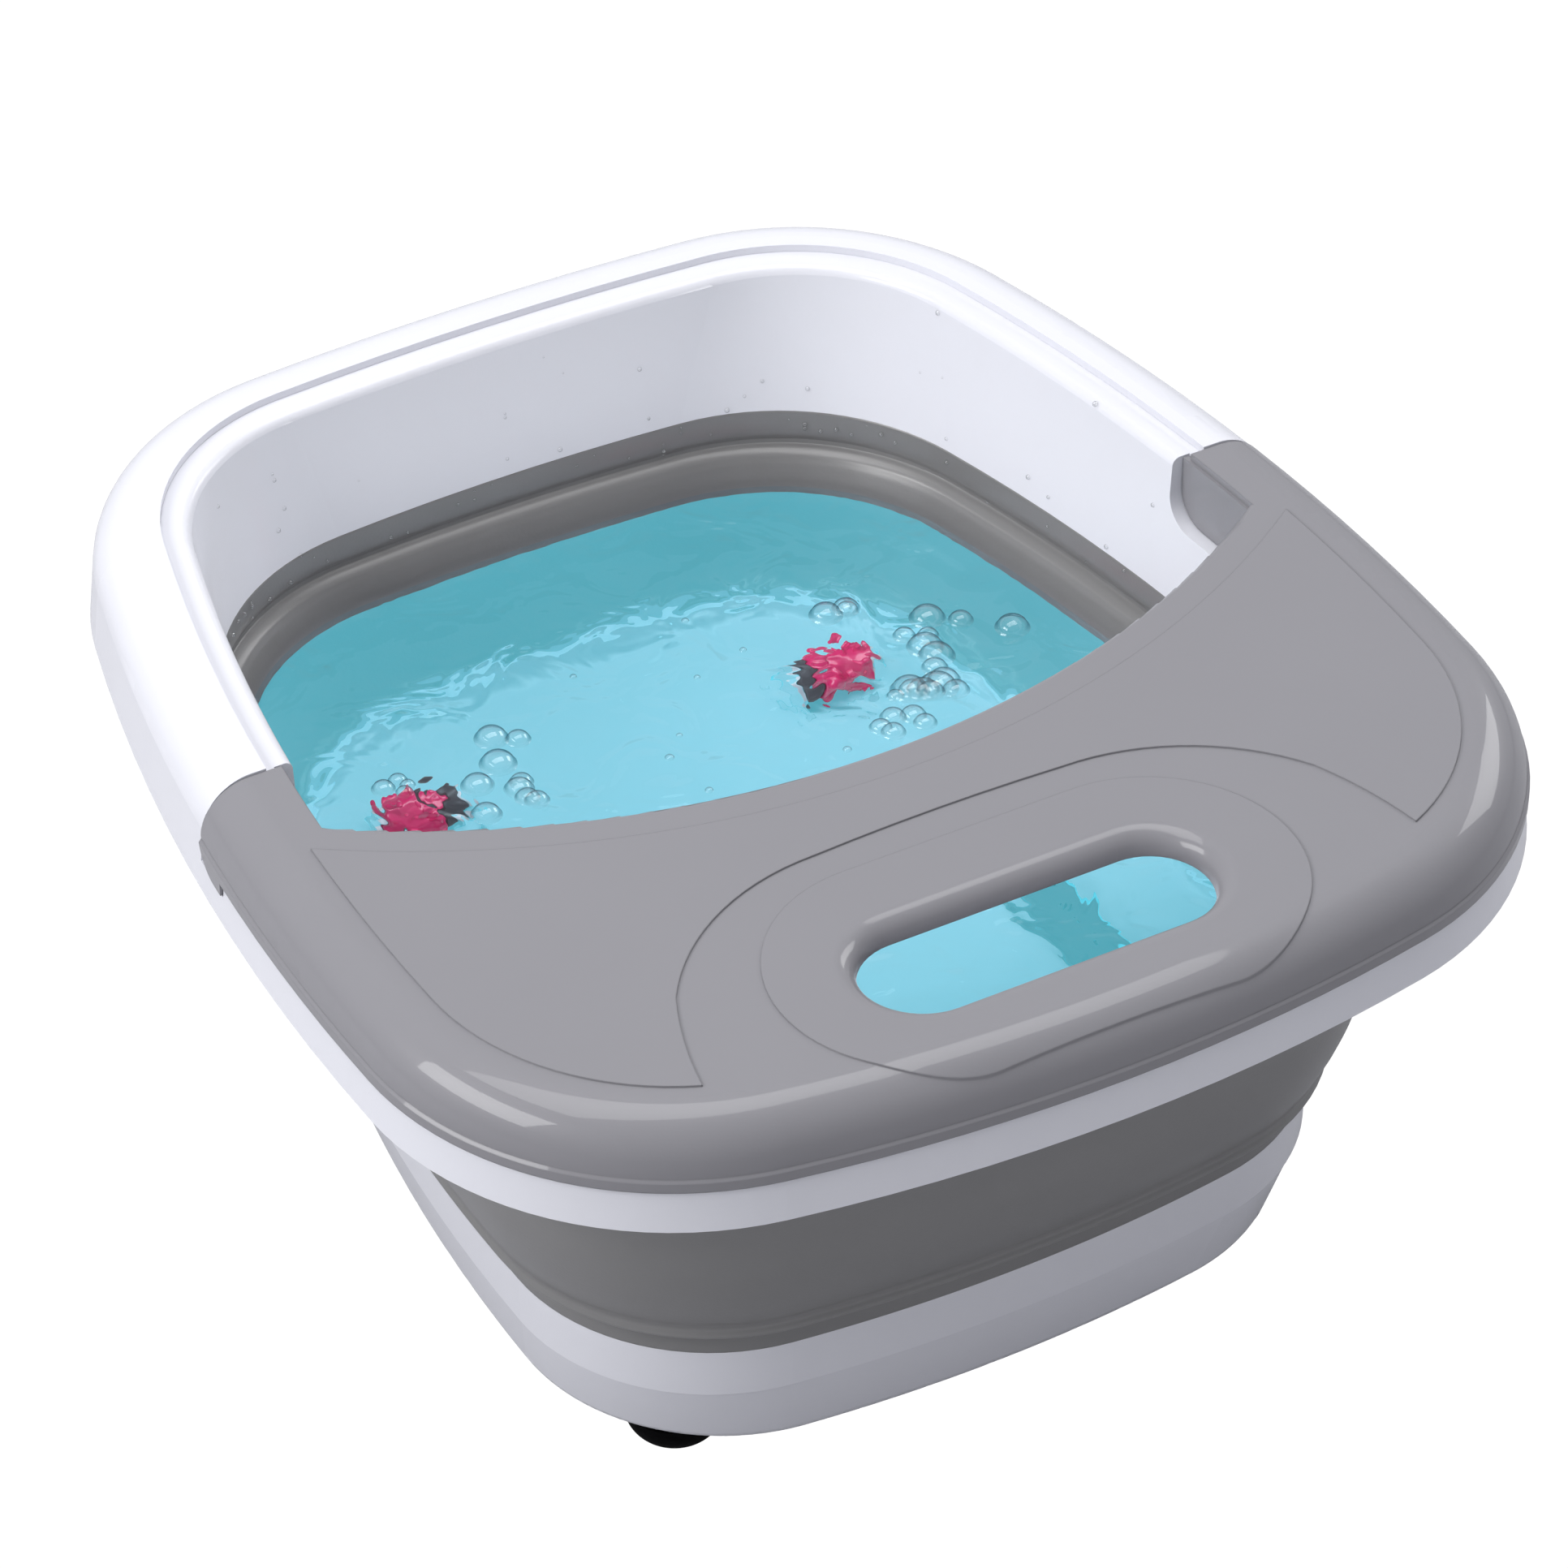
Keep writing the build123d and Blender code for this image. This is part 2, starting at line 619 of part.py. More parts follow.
def base_shell():
    outer = base_form(0, BASE_FOOT_Z, BASE_TOP_Z)
    outer = fillet(edges_at(outer, BASE_FOOT_Z), BASE_EDGE_R)
    hollow = base_form(SHELL_WALL, BASE_FOOT_Z + SHELL_WALL, BASE_TOP_Z)
    hollow = fillet(edges_at(hollow, BASE_FOOT_Z + SHELL_WALL), BASE_EDGE_R - SHELL_WALL)
    mouth_inset = BASE_FOOT_INSET + BASE_LIP_INSET
    foot_plan = base_plan(BASE_FOOT_Z)
    mouth = plan_block(foot_plan, mouth_inset, BASE_FOOT_Z - OVERLAP, BASE_FOOT_Z + SHELL_WALL + OVERLAP)
    ledge_top = LEDGE_Z + SHELL_WALL
    ledge = base_form(SHELL_WALL - OVERLAP, LEDGE_Z, ledge_top)
    ledge = ledge - plan_block(BASE_PLAN, SHELL_WALL + LEDGE_WIDTH, LEDGE_Z - OVERLAP, ledge_top + OVERLAP)
    shell = outer - hollow - mouth + ledge
    for p in base_screw_places():
        boss = cylinder_at(p.X, p.Y, BASE_FOOT_Z + SHELL_WALL, LEDGE_Z + OVERLAP, BOSS_R)
        shell = shell + (boss & base_form(OVERLAP, BASE_FOOT_Z, ledge_top))
    hole_top = BASE_FOOT_Z + SCREW_LENGTH + BOSS_HOLE_SPARE
    for p in base_screw_places():
        shell = shell - cylinder_at(p.X, p.Y, BASE_FOOT_Z, hole_top, BOSS_HOLE_R)
    shell = shell - box_between(
        (-PANEL_WIDTH / 2, BOARD_Y, PANEL_Z - PANEL_HEIGHT / 2),
        (PANEL_WIDTH / 2, PANEL_FACE_Y + OVERLAP, PANEL_Z + PANEL_HEIGHT / 2),
    )
    return shell - grommet_form(RUNNING_GAP, 0)


def base_screw_places():
    inset = BASE_FOOT_INSET + BOSS_INSET + BOSS_R
    return [on_plan(base_plan(BASE_FOOT_Z), inset, angle) for angle in BASE_SCREW_ANGLES]


def bottom_plate():
    top = BASE_FOOT_Z + SHELL_WALL
    under = BASE_FOOT_Z - OVERLAP
    inset = BASE_FOOT_INSET + BASE_LIP_INSET + FIT_GAP
    plate = plan_block(base_plan(BASE_FOOT_Z), inset, BASE_FOOT_Z, top)
    for p in base_screw_places():
        plate = plate - cylinder_at(p.X, p.Y, under, top + OVERLAP, SCREW_R + RUNNING_GAP)
        plate = plate - cylinder_at(p.X, p.Y, under, BASE_FOOT_Z + SCREW_HEAD_H, SCREW_HEAD_R + FIT_GAP)
    for x, y in foot_places():
        plate = plate - cylinder_at(x, y, under, top + OVERLAP, FOOT_STEM_R + RUNNING_GAP)
    return plate


def bottom_screws():
    screws = []
    low = BASE_FOOT_Z + SCREW_SINK
    for p in base_screw_places():
        head = cylinder_at(p.X, p.Y, low, BASE_FOOT_Z + SCREW_HEAD_H, SCREW_HEAD_R)
        shank = cylinder_at(p.X, p.Y, low, BASE_FOOT_Z + SCREW_LENGTH, SCREW_R)
        screws.append((head + shank).solid())
    return Compound(children=screws)


def basin_floor():
    """The floor pan: a plate with a raised edge that meets the bellows."""
    lip_top = BASE_TOP_Z + PAN_LIP_HEIGHT
    pan = base_form(SHELL_WALL + FIT_GAP, FLOOR_Z - SHELL_WALL, BASE_TOP_Z)
    pan = pan + plan_block(BASE_PLAN, SHELL_WALL + FIT_GAP, BASE_TOP_Z, lip_top)
    pan = pan + plan_block(BASE_PLAN, BELLOWS_WALL + RUNNING_GAP, BASE_TOP_Z + RUNNING_GAP, lip_top)
    pan = pan - plan_block(BASE_PLAN, 2 * SHELL_WALL, FLOOR_Z, lip_top + OVERLAP)
    pan = fillet(edges_at(pan, FLOOR_Z), PAN_EDGE_R)
    for side in (-1, 1):
        hole = (side * BUBBLE_BAR_X, BUBBLE_BAR_Y, FLOOR_Z - SHELL_WALL - OVERLAP, FLOOR_Z + OVERLAP)
        pan = pan - cylinder_at(*hole, NIPPLE_R + RUNNING_GAP)
    return pan


def floor_seal():
    low = LEDGE_Z + SHELL_WALL
    ring = plan_block(BASE_PLAN, SEAL_INSET, low, FLOOR_Z - SHELL_WALL)
    return ring - plan_block(BASE_PLAN, SEAL_INSET + SHELL_WALL, low - OVERLAP, FLOOR_Z)


def foot_places():
    return [(side * x, y) for x, y in (FOOT_FRONT, FOOT_BACK) for side in (-1, 1)]


def foot(x, y):
    """A domed rubber foot with a push-in stem."""
    top = BASE_FOOT_Z
    band = top - FOOT_BAND
    plate_top = BASE_FOOT_Z + SHELL_WALL
    tip = plate_top + FOOT_STEM_TIP_H
    dome = ThreePointArc((FOOT_CONTACT_R, 0, 0), (FOOT_BULGE[0], 0, FOOT_BULGE[1]), (FOOT_R, 0, band))
    rest = Polyline(
        (FOOT_R, 0, band),
        (FOOT_R, 0, top),
        (FOOT_STEM_R, 0, top),
        (FOOT_STEM_R, 0, plate_top),
        (FOOT_STEM_HEAD_R, 0, plate_top),
        (FOOT_STEM_TIP_R, 0, tip),
        (0, 0, tip),
        (0, 0, 0),
        (FOOT_CONTACT_R, 0, 0),
    )
    section = Face(Wire([dome] + list(rest.edges())))
    return Pos(x, y, 0) * revolve(section, Axis.Z)


# ---------------------------------------------------------------- massage rollers

def roller_length():
    return DRUM_LENGTH + HUB_LENGTH


def along_roller(side, low, high, radius):
    """A cylinder on the roller's axis, measured outwards from the inner end of its hub."""
    start = side * (ROLLER_X - roller_length() / 2 + (low + high) / 2)
    return Pos(start, ROLLER_Y, ROLLER_AXIS_Z) * Rot(0, 90, 0) * Cylinder(radius, high - low)


def roller_drum(side):
    """The outer part of the roller: a drum with two rings of rounded nubs."""
    drum = along_roller(side, HUB_LENGTH, roller_length(), ROLLER_R)
    drum = fillet(drum.edges(), ROLLER_EDGE_R)
    middle = side * (ROLLER_X + HUB_LENGTH / 2)
    for ring in range(NUB_RINGS):
        x = middle + (ring - (NUB_RINGS - 1) / 2) * DRUM_LENGTH / NUB_RINGS
        for i in range(NUBS_PER_RING):
            turn = 360 * (i + ring / 2) / NUBS_PER_RING
            place = Pos(x, ROLLER_Y, ROLLER_AXIS_Z) * Rot(turn, 0, 0) * Pos(0, 0, ROLLER_R + NUB_REACH - NUB_R)
            drum = drum + place * Sphere(NUB_R)
    return drum - along_roller(side, 0, roller_length() + OVERLAP, AXLE_R + RUNNING_GAP)


def roller_hub(side):
    """The plain inner part of the roller, which turns with the drum."""
    hub = along_roller(side, 0, HUB_LENGTH, HUB_R)
    hub = chamfer(hub.edges(), OVERLAP)
    return hub - along_roller(side, -OVERLAP, HUB_LENGTH + OVERLAP, AXLE_R + RUNNING_GAP)


def roller_axle(side):
    end = CHEEK_GAP + CHEEK_WALL
    return along_roller(side, -end, roller_length() + end, AXLE_R)


def roller_cradle(side):
    """The frame that clips to the floor and holds the pin between two cheeks."""
    inner = roller_length() / 2 + CHEEK_GAP
    outer = inner + CHEEK_WALL
    frame = box_between((-outer, -CRADLE_HALF_DEPTH, FLOOR_Z), (outer, CRADLE_HALF_DEPTH, FLOOR_Z + CRADLE_WALL))
    for low, high in ((-outer, -inner), (inner, outer)):
        cheek = box_between(
            (low, -CHEEK_HALF_DEPTH, FLOOR_Z),
            (high, CHEEK_HALF_DEPTH, ROLLER_AXIS_Z + CHEEK_OVER_AXIS),
        )
        frame = frame + fillet(cheek.edges().filter_by(Axis.X).group_by(Axis.Z)[-1], CHEEK_EDGE_R)
    frame = Pos(side * ROLLER_X, ROLLER_Y, 0) * frame
    return frame - along_roller(side, -ROLLER_X, ROLLER_X, AXLE_R)


# ---------------------------------------------------------------- air system

def bubble_bar(side):
    """A hollow bar on the floor with a row of holes, fed by a nipple through the floor."""
    half = BUBBLE_BAR_WIDTH / 2
    top = FLOOR_Z + BUBBLE_BAR_HEIGHT
    duct_low = FLOOR_Z + BUBBLE_BAR_WALL
    duct_top = top - BUBBLE_BAR_WALL
    bar = box_between((-half, -BUBBLE_BAR_LENGTH / 2, FLOOR_Z), (half, BUBBLE_BAR_LENGTH / 2, top))
    bar = fillet(bar.edges().filter_by(Axis.Z), half - RUNNING_GAP)
    bar = fillet(edges_at(bar, top), BUBBLE_BAR_EDGE_R)
    half_duct = BUBBLE_BAR_LENGTH / 2 - DUCT_END
    bar = bar - box_between((DUCT_SIDE - half, -half_duct, duct_low), (half - DUCT_SIDE, half_duct, duct_top))
    bar = bar + cylinder_at(0, 0, NIPPLE_BOTTOM_Z, duct_low, NIPPLE_R)
    bar = bar - cylinder_at(0, 0, NIPPLE_BOTTOM_Z - OVERLAP, duct_low + OVERLAP, NIPPLE_BORE_R)
    pitch = 2 * (half_duct - BUBBLE_HOLE_MARGIN) / (BUBBLE_HOLES - 1)
    for i in range(BUBBLE_HOLES):
        y = (i - (BUBBLE_HOLES - 1) / 2) * pitch
        bar = bar - cylinder_at(0, y, duct_top - OVERLAP, top + OVERLAP, BUBBLE_HOLE_R)
    return Pos(side * BUBBLE_BAR_X, BUBBLE_BAR_Y, 0) * bar


def air_pump():
    """A round pump body lying along X, with a port at each end."""
    body = Rot(0, 90, 0) * Cylinder(PUMP_R, PUMP_LENGTH)
    body = fillet(body.edges(), PUMP_EDGE_R)
    for side in (-1, 1):
        port = Pos(side * (PUMP_LENGTH + PUMP_PORT_X) / 2, 0, 0) * Rot(0, 90, 0) * Cylinder(NIPPLE_R, PUMP_PORT_X)
        body = body + port
    return Pos(0, PUMP_Y, PUMP_AXIS_Z) * body


def pump_mounts():
    """Two rubber saddles that keep the pump's vibration off the bottom plate."""
    saddles = []
    low = BASE_FOOT_Z + SHELL_WALL
    hollow = Pos(0, PUMP_Y, PUMP_AXIS_Z) * Rot(0, 90, 0) * Cylinder(PUMP_R + RUNNING_GAP, PUMP_LENGTH)
    for side in (-1, 1):
        x = side * PUMP_LENGTH / 4
        saddle = box_between(
            (x - SADDLE_HALF_LENGTH, PUMP_Y - SADDLE_HALF_DEPTH, low),
            (x + SADDLE_HALF_LENGTH, PUMP_Y + SADDLE_HALF_DEPTH, PUMP_AXIS_Z - SADDLE_DROP),
        )
        saddles.append((saddle - hollow).solid())
    return Compound(children=saddles)


def air_hose(side):
    """From the pump's port to the bubble bar's nipple, over which it is pushed."""
    start = Vector(side * (PUMP_LENGTH / 2 + OVERLAP), PUMP_Y, PUMP_AXIS_Z)
    end = Vector(side * BUBBLE_BAR_X, BUBBLE_BAR_Y, FLOOR_Z - SHELL_WALL - OVERLAP)
    elbow = Vector(end.X, end.Y, PUMP_AXIS_Z)
    knee = Vector(side * (PUMP_LENGTH / 2 + 2 * PUMP_PORT_X), PUMP_Y, PUMP_AXIS_Z)
    path = FilletPolyline(start, knee, elbow, end, radius=HOSE_BEND_R)
    mouth = Plane(path @ 0, z_dir=path % 0)
    return sweep(mouth * Circle(HOSE_R), path) - sweep(mouth * Circle(NIPPLE_R + HOSE_FIT), path)


# ---------------------------------------------------------------- heater

def heater_plate():
    width, depth, height = HEATER_SIZE
    top = FLOOR_Z - SHELL_WALL
    plate = box_between((-width / 2, HEATER_Y - depth / 2, top - height), (width / 2, HEATER_Y + depth / 2, top))
    return fillet(plate.edges().filter_by(Axis.Z), HEATER_CORNER_R)


def heater_underside():
    return FLOOR_Z - SHELL_WALL - HEATER_SIZE[2]


def heater_bracket():
    """A bent strap that presses the heater up against the floor."""
    under = heater_underside()
    low = BASE_FOOT_Z + SHELL_WALL
    wide = STRAP_HALF_WIDTH
    strap = box_between(
        (-wide, HEATER_Y - STRAP_HALF_SPAN, under - STRAP_WALL),
        (wide, HEATER_Y + STRAP_HALF_SPAN, under),
    )
    for side in (-1, 1):
        outer = side * STRAP_HALF_SPAN
        leg = sorted((HEATER_Y + outer, HEATER_Y + outer - side * STRAP_WALL))
        toe = sorted((HEATER_Y + outer - side * STRAP_WALL, HEATER_Y + outer + side * STRAP_TOE))
        strap = strap + box_between((-wide, leg[0], low), (wide, leg[1], under))
        strap = strap + box_between((-wide, toe[0], low), (wide, toe[1], low + STRAP_WALL))
    return strap


def thermostat():
    under = heater_underside()
    can = cylinder_at(THERMOSTAT_X, HEATER_Y, under - THERMOSTAT_H, under, THERMOSTAT_R)
    return fillet(edges_at(can, under - THERMOSTAT_H), THERMOSTAT_EDGE_R)


# ---------------------------------------------------------------- control panel

def button_places():
    return [(i - 1) * BUTTON_PITCH for i in range(3)]


def along_y(x, z, low, high, radius):
    return Pos(x, (low + high) / 2, z) * Rot(90, 0, 0) * Cylinder(radius, high - low)


def panel_bezel():
    """The frame of the control panel, set into the back wall."""
    half = PANEL_WIDTH / 2 - FIT_GAP
    half_height = PANEL_HEIGHT / 2 - FIT_GAP
    back = PANEL_FACE_Y - PANEL_DEPTH
    bezel = box_between((-half, back, PANEL_Z - half_height), (half, PANEL_FACE_Y, PANEL_Z + half_height))
    bezel = fillet(bezel.edges().filter_by(Axis.Y), PANEL_CORNER_R)
    bezel = fillet(bezel.faces().sort_by(Axis.Y)[-1].edges(), PANEL_EDGE_R)
    bezel = bezel - box_between(
        (PANEL_FRAME - half, back - OVERLAP, PANEL_Z - half_height + PANEL_FRAME),
        (half - PANEL_FRAME, PANEL_FACE_Y - PANEL_SKIN, PANEL_Z + half_height - PANEL_FRAME),
    )
    for x in button_places():
        bezel = bezel - along_y(x, PANEL_Z, back - OVERLAP, PANEL_FACE_Y + OVERLAP, BUTTON_R + BUTTON_GAP)
    return bezel


def push_button(x):
    """A round cap with a retaining flange and a stem that reaches the switch."""
    front = PANEL_FACE_Y + BUTTON_PROUD
    flange_front = PANEL_FACE_Y - PANEL_SKIN - BUTTON_SLACK
    flange_back = flange_front - BUTTON_FLANGE_WALL
    cap = along_y(x, PANEL_Z, flange_back, front, BUTTON_R)
    cap = fillet(cap.faces().sort_by(Axis.Y)[-1].edges(), BUTTON_EDGE_R)
    flange = along_y(x, PANEL_Z, flange_back, flange_front, BUTTON_R + BUTTON_FLANGE)
    stem = along_y(x, PANEL_Z, switch_face() + BUTTON_TRAVEL + BUTTON_SLACK, flange_front, BUTTON_STEM_R)
    return cap + flange + stem


def switch_face():
    return BOARD_Y + BOARD_WALL + SWITCH_DEPTH


def control_board():
    half = PANEL_WIDTH / 2 - PANEL_FRAME
    back = BOARD_Y + BOARD_WALL
    return box_between((-half, BOARD_Y, PANEL_Z - BOARD_BELOW), (half, back, PANEL_Z + BOARD_ABOVE))


def push_switches():
    """The switches behind the buttons, on the control board."""
    half = SWITCH_SIZE / 2
    back = BOARD_Y + BOARD_WALL
    places = button_places()
    blocks = [box_between((x - half, back, PANEL_Z - half), (x + half, switch_face(), PANEL_Z + half)) for x in places]
    return Compound(children=[block.solid() for block in blocks])


def board_posts():
    """Two posts on the bottom plate that the control board slots into."""
    front = BOARD_Y - POST_FRONT
    back = BOARD_Y + BOARD_WALL + POST_BACK
    low = BASE_FOOT_Z + SHELL_WALL
    posts = []
    for side in (-1, 1):
        x = side * (PANEL_WIDTH / 2 - POST_INSET)
        post = box_between((x - POST_HALF_WIDTH, front, low), (x + POST_HALF_WIDTH, back, PANEL_Z + POST_TOP))
        slot = slab(
            BOARD_Y - RUNNING_GAP,
            PANEL_Z - BOARD_BELOW,
            BOARD_Y + BOARD_WALL + RUNNING_GAP,
            PANEL_Z + POST_TOP + OVERLAP,
        )
        posts.append((post - slot).solid())
    return Compound(children=posts)


def cord_inlet():
    """A rubber grommet in the back wall for the supply cord, held by a flange on each side."""
    return grommet_form(0, CORD_BORE_R)


def grommet_form(grow, bore):
    """The grommet's outline, offset outwards by grow, with a bore along its length."""
    wall_y = cord_wall_y()
    low = wall_y - CORD_GROMMET_BACK
    high = wall_y + CORD_GROMMET_FRONT
    form = along_y(CORD_INLET_X, CORD_INLET_Z, low, high, CORD_GROMMET_R + grow)
    for start in (low, high - CORD_FLANGE_WALL):
        flange_end = start + CORD_FLANGE_WALL + grow
        form = form + along_y(CORD_INLET_X, CORD_INLET_Z, start - grow, flange_end, CORD_GROMMET_FLANGE_R + grow)
    if bore:
        form = form - along_y(CORD_INLET_X, CORD_INLET_Z, low - OVERLAP, high + OVERLAP, bore)
    return form


def cord_wall_y():
    """Where the middle of the back wall's thickness is, near the cord inlet."""
    wire = plan_wire(BASE_PLAN, base_inset(CORD_INLET_Z) + SHELL_WALL / 2)
    ray = Edge.make_line(Vector(CORD_INLET_X, 0, 0), Vector(CORD_INLET_X, BEYOND, 0))
    return wire.distance_to_with_closest_points(ray)[1].Y


def main():
    nodes = {
        "splash_cover": splash_cover(),
        "rim_ring": rim_ring(),
        "tub_collar": tub_collar(),
        "rim_screws": rim_screws(),
        "bellows": bellows(),
        "bellows_cuff": bellows_cuff(),
        "base_shell": base_shell(),
        "bottom_plate": bottom_plate(),
        "bottom_screws": bottom_screws(),
        "basin_floor": basin_floor(),
        "floor_seal": floor_seal(),
        "air_pump": air_pump(),
        "pump_mounts": pump_mounts(),
        "heater_plate": heater_plate(),
        "heater_bracket": heater_bracket(),
        "thermostat": thermostat(),
        "panel_bezel": panel_bezel(),
        "control_board": control_board(),
        "push_switches": push_switches(),
        "board_posts": board_posts(),
        "cord_inlet": cord_inlet(),
    }
    for name, (x, y) in zip(("front_left", "front_right", "back_left", "back_right"), foot_places()):
        nodes["foot_" + name] = foot(x, y)
    for name, side in (("left", -1), ("right", 1)):
        nodes["roller_" + name] = roller_drum(side)
        nodes["roller_hub_" + name] = roller_hub(side)
        nodes["roller_axle_" + name] = roller_axle(side)
        nodes["roller_cradle_" + name] = roller_cradle(side)
        nodes["bubble_bar_" + name] = bubble_bar(side)
        nodes["air_hose_" + name] = air_hose(side)
    for name, x in zip(("heat", "power", "bubble"), button_places()):
        nodes["button_" + name] = push_button(x)
    os.makedirs("parts", exist_ok=True)
    for name, shape in nodes.items():
        export_step(shape, "parts/" + name + ".step")


main()
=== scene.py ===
import json
from collections import namedtuple
from math import atan2, cos, hypot, pi, radians, sin, sqrt
from random import Random

import bmesh
import bpy
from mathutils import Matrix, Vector


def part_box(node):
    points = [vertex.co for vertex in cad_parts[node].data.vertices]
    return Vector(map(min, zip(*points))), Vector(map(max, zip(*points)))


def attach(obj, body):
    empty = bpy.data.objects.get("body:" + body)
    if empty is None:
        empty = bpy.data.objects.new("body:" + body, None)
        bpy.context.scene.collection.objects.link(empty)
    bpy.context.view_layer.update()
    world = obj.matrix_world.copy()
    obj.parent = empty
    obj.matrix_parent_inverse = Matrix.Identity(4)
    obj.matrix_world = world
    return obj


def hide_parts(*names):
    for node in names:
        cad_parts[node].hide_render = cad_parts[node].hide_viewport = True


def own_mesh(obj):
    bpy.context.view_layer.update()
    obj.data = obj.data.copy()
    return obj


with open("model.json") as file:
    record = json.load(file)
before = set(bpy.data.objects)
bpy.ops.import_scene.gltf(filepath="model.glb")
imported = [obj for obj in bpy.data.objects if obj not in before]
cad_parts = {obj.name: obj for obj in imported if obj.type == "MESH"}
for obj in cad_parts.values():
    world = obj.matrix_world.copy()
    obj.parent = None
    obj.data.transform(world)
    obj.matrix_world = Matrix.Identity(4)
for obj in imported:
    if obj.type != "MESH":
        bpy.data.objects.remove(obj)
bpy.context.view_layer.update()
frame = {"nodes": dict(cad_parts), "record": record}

MM = 0.001

# ------------------------------------------------------------------ outline of the object, in millimetres
Plan = namedtuple("Plan", "half_width half_length widest_y side_r front_r back_r front_corner_r back_corner_r")
RIM_PLAN = Plan(191.4, 210.0, -65.7, 774.0, 580.6, 1020.8, 101.0, 94.6)
COLLAR_FOOT_PLAN = Plan(159.2, 177.8, -65.7, 663.7, 548.0, 763.5, 88.0, 79.3)
BASE_PLAN = Plan(137.7, 156.9, -62.5, 683.0, 566.9, 900.0, 69.0, 74.0)
ARC_STEPS = (10, 18, 22, 18, 10)      # samples on the front, corner, side, corner and back arcs of one half

BELLOWS_WALL = 2.5
BASE_TOP_Z = 57.3
COLLAR_FOOT_Z = 143.4
WATER_Z = 117.8


def tangent_centre(c1, r1, c2, r2, corner_r):
    """Centre of the corner arc that runs smoothly from one larger arc into another, on the +X side."""
    dx, dy = c2[0] - c1[0], c2[1] - c1[1]
    gap = hypot(dx, dy)
    a, b = r1 - corner_r, r2 - corner_r
    along = (a * a - b * b + gap * gap) / (2 * gap)
    across = sqrt(a * a - along * along)
    ux, uy = dx / gap, dy / gap
    return max((c1[0] + ux * along - s * uy * across, c1[1] + uy * along + s * ux * across) for s in (1, -1))


def heading(a, b):
    return atan2(b[1] - a[1], b[0] - a[0])


def half_outline(plan, inset):
    """Right half of the outline, front to back, as (x, y) points in millimetres."""
    side = (plan.half_width - plan.side_r, plan.widest_y)
    front = (0.0, plan.front_r - plan.half_length)
    back = (0.0, plan.half_length - plan.back_r)
    near = tangent_centre(front, plan.front_r, side, plan.side_r, plan.front_corner_r)
    far = tangent_centre(back, plan.back_r, side, plan.side_r, plan.back_corner_r)
    stops = [-pi / 2, heading(front, near), heading(side, near), heading(side, far), heading(back, far), pi / 2]
    centres = (front, near, side, far, back)
    radii = (plan.front_r, plan.front_corner_r, plan.side_r, plan.back_corner_r, plan.back_r)
    points = []
    for (x, y), radius, start, end, steps in zip(centres, radii, stops, stops[1:], ARC_STEPS):
        for i in range(steps):
            angle = start + (end - start) * i / steps
            points.append((x + (radius - inset) * cos(angle), y + (radius - inset) * sin(angle)))
    points.append((0.0, plan.half_length - inset))
    return points


def outline(plan, inset=0.0):
    """The whole closed outline, anticlockwise from the middle of the front."""
    right = half_outline(plan, inset)
    left = [(-x, y) for x, y in reversed(right[1:-1])]
    return right + left


def mixed(low, high, share):
    """The plan that lies the given share of the way from one plan to another."""
    return Plan(*[a + (b - a) * share for a, b in zip(low, high)])


# ------------------------------------------------------------------ mesh helpers
def mesh_object(name, points, faces, smooth=True):
    """A mesh object from points in millimetres."""
    mesh = bpy.data.meshes.new(name)
    mesh.from_pydata([[c * MM for c in p] for p in points], [], faces)
    bm = bmesh.new()
    bm.from_mesh(mesh)
    bmesh.ops.recalc_face_normals(bm, faces=bm.faces)
    bm.to_mesh(mesh)
    bm.free()
    mesh.polygons.foreach_set("use_smooth", [smooth] * len(mesh.polygons))
    obj = bpy.data.objects.new(name, mesh)
    bpy.context.scene.collection.objects.link(obj)
    return obj


def bridge(a, b, count):
    """The faces between two closed rings of count points, the first starting at point a, the second at b."""
    return [(a + k, a + (k + 1) % count, b + (k + 1) % count, b + k) for k in range(count)]


def swept(name, rings, closed=True):
    """Faces between neighbouring rings of equal length; closed joins the last ring to the first."""
    count = len(rings[0])
    points = [p for ring in rings for p in ring]
    faces = []
    for i in range(len(rings) if closed else len(rings) - 1):
        faces += bridge(i * count, ((i + 1) % len(rings)) * count, count)
    return mesh_object(name, points, faces)


# ------------------------------------------------------------------ materials of the object
TONE_NOISE = (14.0, 4.0)              # scale and detail of each noise
GLOSS_NOISE = (60.0, 3.0)
GRAIN_NOISE = (900.0, 2.0)
WAVE_NOISE = (22.0, 1.0)
TONE_RAMP = (0.3, 0.7)
GLOSS_SPREAD = 0.06
WAVE_HEIGHT = 0.04 * MM
SOFT_EDGE_SAMPLES = 4


